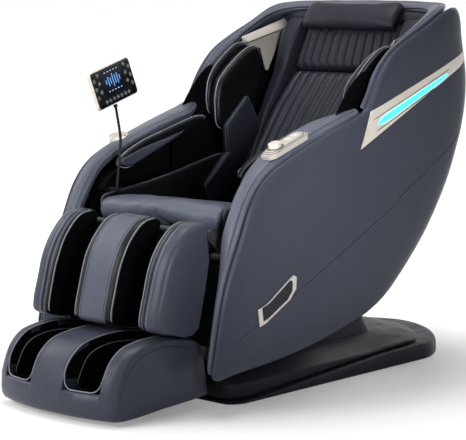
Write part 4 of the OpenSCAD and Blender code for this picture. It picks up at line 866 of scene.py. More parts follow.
def seat():
    o = ring(SEAT_RING, 3)
    c = np.array([-60.0, 500.0])
    hw = ARM_X - 26
    rings = []
    for u in dense_ends(26):
        e = max(0.0, 1 - abs(u) ** 6) ** 0.5
        q = o - c
        q = np.column_stack([q[:, 0] * (0.985 + 0.015 * e),
                             q[:, 1] * np.where(q[:, 1] > 0, 0.9 + 0.1 * e, 0.94 + 0.06 * e)])
        rings.append(at_x(u * hw, c + q))
    verts, faces = loft(rings)

    def wrinkle(ob):
        """Soft folds that run up from the front roll."""
        co = coords(ob) / MM
        normals = np.array([v.normal for v in ob.data.vertices])
        k = smooth01((-150 - co[:, 1]) / 110)
        fold = np.array([noise.noise(Vector((x / 75 + 0.25 * z / 26, y / 120, 0.5)))
                         for x, y, z in co])
        put(ob, (co + normals * (fold * 4.0 * k)[:, None]) * MM)
        ripple(ob, 2.0, 80, 9.0)

    soft = puff(9, 5.0, hold=lambda p: 1.0 if p[2] < 488 or p[1] > 150 else 0.0)

    def swell(ob):
        soft(ob)
        wrinkle(ob)
    build("seat_cushion", verts, faces, "grey_leather", "shell", "grey_leather", "seat_pad",
          fill=0.7, swell=swell)


def head():
    """Neck roll, and the pillow; the sewn line below the pillow is left out."""
    c = np.array([606.0, 1080.0])
    turn = np.linspace(0, 2 * math.pi, 24, endpoint=False)
    rings = []
    for u in dense_ends(18):
        r = 17 * max(0.0, 1 - abs(u) ** 8) ** 0.3 + 6
        rings.append(np.column_stack([0 * turn + u * (LINER_X - 2 * GAP), c[0] + r * np.cos(turn),
                                      c[1] + r * np.sin(turn)]))
    verts, faces = loft(rings)
    build("neck_cushion", verts, faces, "charcoal", "shell", "navy_leather", "neck_roll",
          fill=0.7, swell=rippled(1.4, 40, 3.0))
    v = dense_ends(20)
    base = curve([[552, 1039.5], [566, 1064.5], [582, 1085.5], [599, 1101.5], [610, 1110]], 1)
    path = stretch_of(base, (v + 1) / 2 * 4)
    half = 0 * v + 185
    verts, faces = path_cushion(path, -half, half, 0 * v + 30, 0, 0, 40, 9, v, swell=3, sharp=14)
    soft = puff(7, 6.0)

    def swell(ob):
        soft(ob)
        ripple(ob, 1.2, 50, 6.0)
    build("pillow", verts, faces, "charcoal", "pillow_body", "navy_leather", "head_pillow",
          fill=0.8, swell=swell)


# ---- leg rest --------------------------------------------------------------------------
def leg_yz(s, w):
    """Side-view point from coordinates down the leg (s) and out to the front (w)."""
    s, w = np.asarray(s, float), np.asarray(w, float)
    return np.stack([LEG_AT[0] - s * math.sin(LEG_TILT) - w * math.cos(LEG_TILT),
                     LEG_AT[1] - s * math.cos(LEG_TILT) + w * math.sin(LEG_TILT)], -1)


def leg_pts(pts):
    p = np.asarray(pts, float)
    return leg_yz(p[:, 0], p[:, 1])


CALF_FRONT = [[-27, 38], [-24, 56], [4, 100], [72, 134], [139, 145], [216, 141], [284, 133],
              [306, 116], [304, 70]]
RIDGE_FOOT = 25.4
SHELL_HALF = CALF_HALF - 32
LEG_OUT = (0, -math.cos(LEG_TILT), math.sin(LEG_TILT))   # out to the front from the calf shell


def calf_ridge(xs, wrap, hollow):
    far = [[s, RIDGE_FOOT] for s in (292, 286, 268, 220, 150, 60, -14)]
    side = [[296, 22], [283, -12], [258, -30], [210, -26], [150, -20], [70, -8], [16, 21]]
    front = curve(CALF_FRONT, 4)
    c = np.array([140, RIDGE_FOOT])
    rings = []
    for x, w, e in zip(xs, wrap, hollow):
        q = c + (front - c) * [0.955 + 0.045 * e, 0.88 + 0.12 * e]
        tail = [lerp(np.array(a, float), np.array(b, float), w) for a, b in zip(far, side)]
        rings.append(at_x(x, leg_pts(np.vstack([q, tail]))))
    return loft(rings)


def calf_line(x):
    """Points in front of a ridge at a given x, from its top to its foot."""
    front = curve(CALF_FRONT, 5)
    front = front[(front[:, 0] > -28) & (front[:, 0] <= 300)]
    return at_x(x, leg_pts(front + [0, 30]))


def calf_rest():
    half = RIDGE_W / 2
    u = dense_ends(16)
    hollow = np.maximum(0, 1 - np.abs(u) ** 5) ** 0.5
    verts, faces = calf_ridge(u * half, 0 * u, hollow)
    mid = build("calf_cushion_middle", verts, faces,
                ["grey_leather", "black_fabric", "black_leather"], "leg", "grey_leather",
                "calf_pad_middle", fill=0.8,
                swell=rippled(1.6, 70, 2.0))
    paint(mid, lambda c, n: 1 if abs(n.x) > 0.8 and abs(c.x) > half - 9 else
          2 * (abs(c.x) > half * 0.64))
    outer = {}
    for tag, s in SIDES:
        x0 = CALF_HALF - OUTER_RIDGE_W
        xs = [x0, x0 + 0.6, x0 + 2, x0 + 5, x0 + 9, x0 + 14, x0 + 22, x0 + 31, x0 + 42,
              SHELL_HALF + 6.8, SHELL_HALF + 7.4, CALF_HALF - 18, CALF_HALF - 12, CALF_HALF - 8,
              CALF_HALF - 4.5, CALF_HALF - 2, CALF_HALF - 0.5, CALF_HALF]
        wrap = [0] * 10 + [1] * 8
        hollow = [0, 0.25, 0.42, 0.62, 0.77, 0.88, 0.95, 0.985, 1, 0.98, 0.97, 0.88, 0.72, 0.5,
                  0.15, -0.25, -0.65, -0.95]
        verts, faces = calf_ridge(xs, wrap, hollow)
        outer[tag] = build(f"calf_cushion_{tag}", verts * [s, 1, 1], faces,
                           ["navy_leather", "black_fabric", "black_leather", "grey_leather"], "leg",
                           "navy_leather", "calf_pads_outer", fill=0.8,
                           swell=rippled(1.8, 80, 5.0 + s))
        paint(outer[tag], lambda c, n: 1 if n.x * s < -0.8 and abs(c.x) < x0 + 7 else
              2 if abs(c.x) < x0 + 13 or x0 + 22 < abs(c.x) < x0 + 31 else
              3 * (abs(c.x) < x0 + 40))
    calf_trim(mid, outer)


def calf_trim(mid, outer):
    """Rope piping along the wells, and the double-sewn strips beside it."""
    half, x0 = RIDGE_W / 2, CALF_HALF - OUTER_RIDGE_W
    jobs = [(mid, f"m{tag}", s * half * k, kind, "grey_leather", 2.6) for tag, s in SIDES[::-1]
            for kind, k in (("pipe", 0.955), ("near", 0.72), ("far", 0.6))]
    jobs += [(outer[tag], tag, s * (x0 + dx), kind, "navy_leather", 2.4) for tag, s in SIDES
             for kind, dx in (("pipe", 3.5), ("near", 14), ("mid", 20), ("far", 42))]
    for piece, tag, x, kind, slot, shift in jobs:
        spots, normals = drop(surface_of(piece), calf_line(x), [-v for v in LEG_OUT], 120)
        name = f"calf_{kind}_{tag}"
        if kind == "pipe":
            tube(name, spots + normals * 0.8, 2.2, "piping", "leg", "grey_leather")
        else:
            seam(name, spots, normals, "leg", slot, 1.1, 0.4, (shift,) if kind == "near" else ())


def calf_shell():
    well = CALF_HALF - OUTER_RIDGE_W - RIDGE_W / 2
    mid = RIDGE_W / 2 + well / 2
    back = [[52, -34], [80, -44], [110, -50], [200, -52], [270, -50], [282, -46], [286, -38],
            [290, 20]]
    xs = np.concatenate([[-SHELL_HALF], -mid + np.linspace(-1, 1, 15) * well / 2,
                         mid + np.linspace(-1, 1, 15) * well / 2, [SHELL_HALF]])
    rings = []
    for x in xs:
        dip = 22 * max(0.0, 1 - abs(abs(x) - mid) / (well / 2)) ** 0.6
        top = [[s, 25 - dip] for s in (270, 235, 200, 160, 120, 90, 60)]
        rings.append(at_x(x, leg_pts(np.vstack([back, top, [[38, 18 - dip * 0.7]]]))))
    verts, faces = loft(rings)
    ob = build("calf_tray", verts, faces, ["dark_plastic", "black_fabric"], "leg", "dark_plastic",
               "calf_shell", angle=40)
    out = Vector(LEG_OUT)
    paint(ob, lambda c, n: n.dot(out) > 0.35)


# ---- foot rest ---------------------------------------------------------------------------
FOOT_RIDGE = [[-727, 93], [-712, 134], [-690, 172], [-652, 203], [-600, 216], [-540, 220],
              [-470, 212], [-404, 196], [-378, 172]]
FOOT_WELL = [[-727, 84], [-720, 88], [-708, 84], [-690, 62], [-640, 52], [-540, 56], [-440, 66],
             [-412, 110], [-404, 172]]
FOOT_BOTTOM = [[-362, 80], [-358, 40], [-372, 30], [-540, 19], [-690, 11], [-722, 24], [-729, 48]]


def in_well(x):
    return smooth01((x - FOOT_IN) / 4) * smooth01((FOOT_OUT - x) / 4)


def foot_move(x, q):
    """Rounds the foot rest's outer corners and bows its front."""
    e = max(0.0, (x - FOOT_HALF + 20) / 20) ** 2
    c = np.array([-560.0, 110.0])
    q = c + (q - c) * (1 - 0.05 * e)
    bow = 40 * (1 - (x / FOOT_HALF) ** 2.4)
    return np.column_stack([q[:, 0] - bow * smooth01((-q[:, 0] - 500) / 230), q[:, 1]])


def foot_section(x):
    top = curve(lerp(np.array(FOOT_RIDGE, float), np.array(FOOT_WELL, float), in_well(x)), 5)
    return foot_move(x, np.vstack([top, curve(FOOT_BOTTOM, 3)]))


def foot_rest():
    half = [0, 16, 34, 50, 58, 62, 62.8, 63.6, 64.4, 65.2, 66, 72, 84, 100, 116, 129, 142, 158,
            174, 186, 192, 192.8, 193.6, 194.4, 195.2, 196, 200, 208, 216, 222, 227, 231, 234.5,
            237, 238.4, 239]
    xs = [-x for x in half[:0:-1]] + half
    verts, faces = loft([at_x(x, foot_section(abs(x))) for x in xs])
    ob = build("foot_case", verts, faces, ["navy_leather", "black_fabric"], "foot", "dark_plastic",
               "foot_shell", angle=50, swell=rippled(1.2, 90, 8.0))
    paint(ob, lambda c, n: FOOT_IN + 0.3 < abs(c.x) < FOOT_OUT - 0.3 and c.z > 45 and n.z > -0.3
          and c.y > -706 - 40 * (1 - (abs(c.x) / FOOT_HALF) ** 2.4)
          and (c.y > -684 or c.z > 88 + 36 * lip_corner(abs(c.x))))
    tree = surface_of(ob)
    for tag, s in SIDES:
        foot_trim(tag, s, tree)


def lip_corner(x):
    """0 in the middle of a well, 1 at its sides: the lip's rounded corners."""
    return abs(2 * (x - FOOT_IN - 1) / (FOOT_OUT - FOOT_IN - 2) - 1) ** 7


def foot_trim(tag, s, tree):
    """Piped lips round each well, and the sewn lines beside them and round the outer corner."""
    ridge = curve(FOOT_RIDGE, 6)
    keep = ridge[(ridge[:, 0] > -716) & (ridge[:, 1] > 132) & (ridge[:, 0] < -400)][::-1]
    x0, x1 = FOOT_IN + 1, FOOT_OUT - 1
    inner, outer = [[[x, *p] for p in foot_move(x, keep)] for x in (x0, x1)]
    low = []
    for x in lerp(x0, x1, np.linspace(0.03, 0.97, 21)):
        rise = 40 * lip_corner(x)
        low.append([x, *foot_move(x, np.array([[-722 + rise * 0.2, 91 + rise * 0.9]]))[0]])
    pts = np.array(inner + low + outer[::-1]) * [s, 1, 1]
    path = curve(resample(pts, 16), 3)
    tube(f"foot_lip_{tag}", path, 1.9, "piping", "foot", "grey_leather")
    sewn = ((FOOT_IN - 9, 2.4), (FOOT_OUT + 8, -2.4), (FOOT_OUT + 17, 2.4))
    for k, (x, shift) in enumerate(sewn):
        line = foot_move(x, keep)
        pts = at_x(x * s, line + [-14, 26])
        spots, normals = drop(tree, pts, (0, 0.5, -0.866), 90)
        seam(f"foot_seam{k}_{tag}", spots, normals, "foot", "dark_plastic", 1.1, 0.4,
             (shift * s,))
    # seam down the outer corner
    corner = curve([[-430, 176], [-520, 196], [-600, 190], [-650, 168], [-690, 122], [-712, 70]], 6)
    spots, normals = drop(tree, at_x(s * 300, corner), (-s, 0, 0), 120)
    if len(spots):
        seam(f"foot_side_seam_{tag}", spots, normals, "foot", "dark_plastic", 1.1, 0.4)


def foot_lips():
    pts = [[-706, 84], [-700, 128], [-672, 168], [-628, 188], [-560, 194], [-480, 186], [-430, 160],
           [-424, 110], [-470, 80], [-600, 72]]
    for tag, s in SIDES:
        for k, (x, d) in enumerate(((FOOT_IN + 4 + GAP, 11), (FOOT_OUT - 4 - GAP, -11))):
            verts, faces = side_cushion(pts, x, x + d, 1, 5)
            build(f"foot_pad{k}_{tag}", verts * [s, 1, 1], faces, "black_fabric", "foot",
                  "black_fabric", "foot_pads", fill=0.5)
            edge_piping(f"foot_pad_piping{k}_{tag}", pts, 5, s * (x + d * 0.7), "foot",
                        "piping_dim", 1.3)


# ---- base and rear cover ---------------------------------------------------------------
BASE_W, BASE_L, BASE_Y0, TAIL_L = 600.0, 1192.0, -322.0, 294.0
TAIL_Y = BASE_Y0 + BASE_L - TAIL_L
BASE_C = np.array([0.0, 200.0])
SKIRT_H, DOME_H, DECK_IN = 56.0, 98.0, 0.86
NECK_C, NECK_RX, NECK_RY = np.array([0.0, 244.0]), 183.0, 200.0


def plan(hw, y0, tail0, tl):
    a = np.radians(np.linspace(0, 90, 28))
    c, s = np.cos(a) ** (2 / 1.65), np.sin(a) ** (2 / 1.65)
    right = np.column_stack([hw * c, tail0 + tl * s])
    left = np.column_stack([-hw * c, tail0 + tl * s])[-2::-1]
    run = [[-hw, 400], [-hw, 300], [-hw, 180], [-hw, 60], [-hw, -80], [-hw, y0 + 100]]
    t = np.radians(np.linspace(0, 90, 9))
    front = [[-hw + 44 * (1 - math.cos(k)), y0 + 60 * (1 - math.sin(k))] for k in t]
    low = [[-hw + 44 + (hw - 44) * f, y0] for f in (0.15, 0.4, 0.7, 1.0)]
    other = [[-x, y] for x, y in (run + front + low)[-2::-1]]
    return np.array(right.tolist() + left.tolist() + run + front + low + other)


def toward(p, c, k):
    return c + (p - c) * k


def deck(y):
    return lerp(6.5, SKIRT_H, np.clip((y - BASE_Y0) / 800, 0, 1))


def level_ring(p, z, c, k):
    q = toward(p, c, k)
    return np.column_stack([q, np.broadcast_to(z, len(q))])


def throat(p, z, grow):
    a = np.arctan2(p[:, 1] - NECK_C[1], p[:, 0] - NECK_C[0])

    def power(v):
        return np.sign(v) * np.abs(v) ** 0.22
    return np.column_stack([(NECK_RX + grow) * power(np.cos(a)),
                            NECK_C[1] + (NECK_RY + grow) * power(np.sin(a)), np.full(len(p), z)])


def base():
    p = plan(BASE_W / 2, BASE_Y0, TAIL_Y, TAIL_L)
    up = deck(p[:, 1])
    rings = [level_ring(p, 2, BASE_C, 0.998), level_ring(p, 3.5, BASE_C, 1)]
    high = 0.08 + np.clip((up - 10) / 46, 0, 1)
    for dz, k in ((-26, 0.9995), (-18, 0.997), (-11, 0.991), (-6, 0.982), (-2.6, 0.968),
                  (-0.8, 0.95), (0, 0.925), (0, DECK_IN)):
        rings.append(level_ring(p, up + dz * high, BASE_C, k))
    rings += [level_ring(p, up - 3, BASE_C, DECK_IN), level_ring(p, up - 3, BASE_C, 0.965),
              level_ring(p, 2, BASE_C, 0.985)]
    verts, faces = loft(rings, loop=True)
    build("floor_plate", verts, faces, "dark_plastic", "base", "dark_plastic", "base_plate",
          angle=48)
    d = plan(BASE_W / 2 - 14, BASE_Y0 + 8, TAIL_Y - 60, TAIL_L - 70)
    up = deck(d[:, 1])
    wall = np.maximum(58, up + 13)
    z0 = GAP + 0.3
    rings = [level_ring(d, up + z0, BASE_C, 0.94), level_ring(d, up + z0 + 6, BASE_C, 0.94),
             level_ring(d, up + z0 + 7, BASE_C, 0.998), level_ring(d, up + z0 + 8.2, BASE_C, 1)]
    for dz, k in ((-5, 1.0), (-1.5, 0.996), (2, 0.985), (4.5, 0.968), (9, 0.94), (13.5, 0.91)):
        rings.append(level_ring(d, wall + dz, BASE_C, k))
    for z, k in ((DOME_H - 8.5, 0.8), (DOME_H - 7, 0.775)):
        rings.append(level_ring(d, np.maximum(z, wall + 14), BASE_C, k))
    rings += [throat(d, DOME_H - 1.0, 24), throat(d, DOME_H, 8), throat(d, DOME_H, 0),
              throat(d, DOME_H - 5, 0), level_ring(d, DOME_H - 13, BASE_C, 0.79),
              level_ring(d, wall - 6, BASE_C, 0.965), level_ring(d, up + z0 + 11, BASE_C, 0.965),
              level_ring(d, up + z0 + 11, BASE_C, 0.92), level_ring(d, up + z0, BASE_C, 0.92)]
    verts, faces = loft(rings, loop=True)
    build("base_hood", verts, faces, "dark_plastic", "base", "dark_plastic", "base_cover", angle=48)
    rings = []
    for z, grow, lean in ((98.4, 12, 0), (104, 11, 0.1), (130, 8, 0.6), (156, 6.2, 0.98),
                          (160, 4, 1), (160, 1, 1), (130, 3, 0.6), (98.4, 7, 0)):
        r = throat(d, z, grow)
        r[:, 0] *= 1 - 0.02 * lean
        r[:, 1] -= np.where(r[:, 1] > NECK_C[1], 22 * lean, 0)
        rings.append(r)
    verts, faces = loft(rings, loop=True)
    build("neck_collar", verts, faces, "dark_plastic", "base", "dark_plastic", "neck_cover",
          angle=48)


def rear_cover():
    line = curve(REAR_LINE, 5)
    n = len(line) - 1
    out = line - PANEL_C
    out /= np.linalg.norm(out, axis=1)[:, None]
    u = np.linspace(-1, 1, 33)
    rings = []
    for i in range(n + 1):
        bulge = 12 * (1 - u * u) * math.sin(math.pi * i / n)
        half = crown_x(PANEL_C + (line[i] - PANEL_C) / WALL_IN) - PANEL_T - GAP
        front = np.column_stack([u * half, line[i][0] + out[i][0] * bulge,
                                 line[i][1] + out[i][1] * bulge])
        back = (front - [0, *(out[i] * 9)])[::-1]
        rings.append(np.vstack([front, back]))
    verts, faces = loft(rings)
    ob = build("rear_shell", verts, faces, "navy_shell", "shell", "dark_plastic", "rear_cover",
               angle=50)
    tree = surface_of(ob)
    for k, at in enumerate((0.34, 0.7)):
        i = int(n * at)
        pts = [[x, *(line[i] + out[i] * 60)] for x in np.linspace(-INNER_X + 6, INNER_X - 6, 60)]
        spots, normals = drop(tree, pts, (0, -out[i][0], -out[i][1]), 120)
        seam(f"rear_seam{k}", spots, normals, "shell", "dark_plastic", 1.6, 0.6)
    # ventilation slots low in the middle
    for k in range(7):
        i = int(n * 0.86) - k * 2
        pts = [[x, *(line[i] + out[i] * 60)] for x in np.linspace(-120, 120, 20)]
        spots, normals = drop(tree, pts, (0, -out[i][0], -out[i][1]), 120)
        tube(f"rear_slot{k}", spots, 2.4, "seam_dark", "shell", "dark_plastic", sides=6)


# ---- trims, lights and controls ----------------------------------------------------------
WEDGE = [[186, 817], [669, 980], [674, 957], [638, 938], [136, 708]]
LED = [[214, 780], [566, 914]]
EMBLEM = [[-310, 241], [-317, 290], [-278, 303], [-168, 371], [-153, 364], [-155, 331], [-182, 302],
          [-286, 247]]


def crown_x(p):
    """Outer face of a side panel at a side-view point."""
    o = ring(PANEL, 6) - PANEL_C
    q = np.asarray(p, float) - PANEL_C
    turn = np.arctan2(o[:, 1], o[:, 0])
    a = math.atan2(q[1], q[0])
    order = np.argsort(turn)
    reach = np.interp(a, turn[order], np.linalg.norm(o, axis=1)[order], period=2 * math.pi)
    s = min(np.linalg.norm(q) / reach, 1.0)
    rows = np.array(CROWN_ROWS)[::-1]
    return lerp(float(skin_x(p)), HALF_W, float(np.interp(s, rows[:, 0], rows[:, 1])))


def long_edge(a, b, n):
    return [lerp(np.array(a, float), np.array(b, float), k / n) for k in range(n)]


def wedge_lights():
    tip, rear, low, heel, nose = [np.array(p, float) for p in WEDGE]
    a, b = [np.array(p, float) for p in LED]
    for tag, s in SIDES:
        o = (long_edge(tip, rear, 14) + long_edge(rear, low, 3) + long_edge(low, heel, 3)
             + long_edge(heel, nose, 14) + long_edge(nose, tip, 4))
        c0, c1 = lerp(nose, tip, 0.5), lerp(low, heel, 0.5)
        spine = [lerp(c0, c1, 0.05 + 0.9 * t) for t in np.linspace(0, 1, 14)]
        n = len(o)
        m = c0 + (c1 - c0) * 0.5
        inner = [m + (p - m) * [0.985, 0.93] for p in o]
        rows = ((o, -2.2), (o, 2.1), (inner, 2.6), (spine, 4.3))
        verts = [[crown_x(p) + out, *p] for pts, out in rows for p in pts]
        faces = [(k * n + i, k * n + (i + 1) % n, (k + 1) * n + (i + 1) % n, (k + 1) * n + i)
                 for k in (0, 1) for i in range(n)]
        base = 3 * n

        def nearest(i):
            d = [np.linalg.norm(inner[i] - p) for p in spine]
            return int(np.argmin(d))
        for i in range(n):
            j = (i + 1) % n
            p, q = nearest(i), nearest(j)
            faces.append((2 * n + i, 2 * n + j, base + p))
            if p != q:
                step = 1 if q > p else -1
                for k in range(p, q, step):
                    faces.append((2 * n + j, base + k + step, base + k))
        faces.append(tuple(range(n - 1, -1, -1)))
        build(f"wedge_trim_{tag}", np.array(verts) * [s, 1, 1], faces, "champagne", "shell",
              "champagne", "wedge_trims", angle=16)
        d = (b - a) / np.linalg.norm(b - a)
        up = np.array([-d[1], d[0]])
        rings = []
        for t in np.linspace(0, 1, 24):
            p = lerp(a, b, t)
            w = lerp(10.5, 5.5, t) * min(1.0, 0.3 + 8 * min(t, 1 - t))
            row = []
            for k, out in ((-1, 4.1), (-0.8, 5.1), (0.8, 5.1), (1, 4.1), (0.9, 2.4), (-0.9, 2.4)):
                q = p + up * w * k
                row.append([s * (crown_x(q) + out), *q])
            rings.append(row)
        build(f"light_strip_{tag}", *loft(rings), "led_lens", "shell", "led_lens", "led_strips",
              angle=40)
        # Halo: a glowing band round the strip on the trim, painted glow of the LED's light.
        rings = []
        for t in np.linspace(0.015, 0.985, 24):
            p = lerp(a, b, t)
            w = lerp(16, 8, t) * min(1.0, 0.4 + 6 * min(t, 1 - t))
            rings.append([[s * (crown_x(p + up * w * k) + out), *(p + up * w * k)]
                          for k, out in ((-1, 3.9), (-0.9, 4.5), (0.9, 4.5), (1, 3.9))])
        build(f"light_halo_{tag}", *loft(rings), "led_halo", "shell", "champagne", angle=40)
        for k, off, end in ((0, -1, 0.78), (1, 1, 1.03)):
            line = [lerp(a, b, t) + up * off * lerp(18.5, 11, t)
                    for t in np.linspace(-0.04, end, 24)]
            pts = np.array([[s * (crown_x(p) + 4.3), *p] for p in line])
            tube(f"light_groove{k}_{tag}", pts, 0.9, "seam_dark", "shell", "champagne", sides=6)


def emblems():
    """Bright angular frame with a dark sunk face, one on each side near the front edge; the frame
    is in the lit copy of the champagne metal, its tone painted light and shade.
    """
    o = np.array(EMBLEM, float)
    c = middle(o)
    for tag, s in SIDES:
        rings = []
        x0 = HALF_W + GAP
        for scale, x in ((1.0, x0), (1.0, x0 + 3.2), (0.985, x0 + 4), (0.84, x0 + 4),
                         (0.8, x0 + 3.2), (0.8, x0 + 1.5)):
            rings.append([[s * x, *(c + (p - c) * scale)] for p in o])
        verts, faces = loft(rings)
        ob = build(f"emblem_{tag}", verts, faces, ["champagne_bright", "charcoal"], "shell",
                   "champagne", "side_emblems", angle=20)
        paint(ob, lambda q, n: abs(n.x) > 0.95 and abs(q.x) < x0 + 2.4 and abs(q.x) > x0 + 1)


PLATE_X, CHARGER_X = 326, -320
ARM_TILT = Matrix.Rotation(math.radians(18.5), 4, "X")
PLATE = [[-16, -90], [14, -90], [25, -72], [25, 70], [12, 90], [-16, 90], [-25, 76], [-25, -72]]


def on_arm(x, pts):
    """From the sloping arm's own frame (mm) to the row frame."""
    m = Matrix.Translation((x, -132, 734)) @ ARM_TILT
    return np.array([list(m @ Vector(p)) for p in np.asarray(pts, float)])


def tiers(outline, rows):
    o = np.asarray(outline, float)
    c = middle(o)
    return [[[*(c + (p - c) * k), z] for p in o] for k, z in rows]


def disc(cx, cy, rows):
    turn = np.linspace(0, 2 * math.pi, 40, endpoint=False)
    return [[[cx + r * math.cos(t), cy + r * math.sin(t), z] for t in turn] for r, z in rows]


def place(x, rings):
    verts, faces = loft(rings)
    return on_arm(x, verts), faces


def controls():
    rows = ((1, -8), (1, 4.6), (0.985, 5.7), (0.97, 6), (0.91, 6), (0.9, 6.2), (0.895, 9.2),
            (0.885, 9.8), (0.83, 10), (0.825, 10.3), (0.82, 12.2), (0.805, 12.9), (0.78, 13),
            (0.4, 13))
    verts, faces = place(PLATE_X, tiers(PLATE, rows))
    build("control_panel", verts, faces, "champagne_bright", "shell", "champagne", "control_plate",
          angle=28)
    o = np.array(PLATE, float)
    c = middle(o)
    for k, (grow, z) in enumerate(((0.925, 6.1), (0.845, 10.1))):
        path = [[*(c + (p - c) * grow), z] for p in o]
        tube(f"plate_groove{k}", on_arm(PLATE_X, path), 0.7, "seam_dark", "shell", "champagne",
             closed=True, sides=6)
    ring_rows = ((25.4, 12.9), (25.4, 13.6), (24.8, 14), (21.6, 14), (21.2, 13.2))
    verts, faces = place(PLATE_X, disc(0, -44, ring_rows))
    build("knob_ring", verts, faces, "glass_black", "shell", "champagne", angle=30)
    for k, (x0, y0, x1, y1) in enumerate(((-19, -24, 19, -24), (-20, 60, 20, 60))):
        verts, faces = place(PLATE_X, [[[x, y - 0.7, z], [x, y + 0.7, z], [x, y + 0.7, z + 0.5],
                                    [x, y - 0.7, z + 0.5]]
                                   for x, y, z in [(lerp(x0, x1, t), lerp(y0, y1, t), 12.8)
                                                   for t in np.linspace(0, 1, 6)]])
        build(f"plate_line{k}", verts, faces, "seam_dark", "shell", "champagne", angle=30)
    # round charging pad let into the other arm
    verts, faces = loft(disc(-8, -33, ((31, -10), (31, 3), (30.6, 4.4), (29.6, 5.4), (27, 6.3),
                                       (26.4, 6.1), (25.8, 6.6), (20, 7.8), (10, 8.6))))
    verts = verts - np.outer(0.14 * (verts[:, 0] + 8) + 0.6, [0, 0, 1])
    build("charging_disc", on_arm(CHARGER_X, verts), faces, "champagne_bright", "shell",
          "champagne", "charging_pad", angle=30)
    for k, r in enumerate((8, 15, 22)):
        turn = np.linspace(-0.8, 0.8, 18)
        pts = [[-8 + r * math.cos(t), -33 + r * math.sin(t),
                8 - 0.0024 * r * r - 0.14 * r * math.cos(t)] for t in turn]
        tube(f"charging_mark{k}", on_arm(CHARGER_X, pts), 0.5, "seam_dark", "shell", "champagne",
             sides=6)


def wing_bars():
    """Bright bar and angular plate on the inner face of each wing; the bar is in the lit copy of
    the champagne metal, so part of its brightness is painted light.
    """
    x1 = LINER_X - GAP
    top = np.array([[381, 1018], [598, 1077]], float)
    low = np.array([[388, 1000], [601, 1051]], float)
    plate = [[392, 992], [470, 985], [498, 905], [510, 906], [520, 925], [592, 1040]]
    for tag, s in SIDES:
        rings = []
        for t, k in ((0, 0.75), (0.015, 0.95), (0.04, 1), (0.5, 1), (0.96, 1), (0.985, 0.95),
                     (1, 0.75)):
            u, d = lerp(top[0], top[1], t), lerp(low[0], low[1], t)
            m = (u + d) / 2
            u, d = m + (u - m) * k, m + (d - m) * k
            rings.append([[s * (x1 - x), *p] for x, p in (
                (0, u), (3, u), (5, u + [0, -1]), (19, d + [0, 3]), (20, d), (18, d - [0, 2]),
                (0, d - [0, 2]))])
        build(f"wing_bar_{tag}", *loft(rings), "champagne_bright", "shell", "champagne",
              "wing_trims", angle=30)
        o = np.array(plate, float)
        c = middle(o)
        rings = [[[s * x, *(c + (p - c) * k)] for p in o]
                 for k, x in ((1, x1), (1, x1 - 3), (0.97, x1 - 4), (0.5, x1 - 4.4))]
        build(f"wing_plate_{tag}", *loft(rings), "champagne", "shell", "champagne", "wing_trims",
              angle=18)


# ---- remote ---------------------------------------------------------------------------
TABLET = (Matrix.Translation((-245, -268, 894)) @ Matrix.Rotation(math.radians(97), 4, "Z")
          @ Matrix.Rotation(math.radians(-10), 4, "X") @ Matrix.Rotation(math.radians(-14), 4, "Y"))
TABLET_W, TABLET_H = 200.0, 116.0


def on_tablet(pts):
    return np.array([list(TABLET @ Vector(p)) for p in np.asarray(pts, float)])


def rounded(w, h, r, n=8):
    out = []
    for cx, cz, a0 in ((w / 2 - r, h / 2 - r, 0), (-w / 2 + r, h / 2 - r, 90),
                       (-w / 2 + r, -h / 2 + r, 180), (w / 2 - r, -h / 2 + r, 270)):
        for k in range(n + 1):
            t = math.radians(a0 + 90 * k / n)
            out.append([cx + r * math.cos(t), cz + r * math.sin(t)])
    return np.array(out)


def slab(w, h, r, rows, cx=0.0, cz=0.0, n=8):
    """Rounded plate in the tablet's frame: rows hold how far it is drawn in and its depth."""
    rings = []
    for inset, y in rows:
        q = rounded(w - 2 * inset, h - 2 * inset, max(r - inset, 0.6), n)
        rings.append([[cx + x, y, cz + z] for x, z in q])
    return loft(rings)


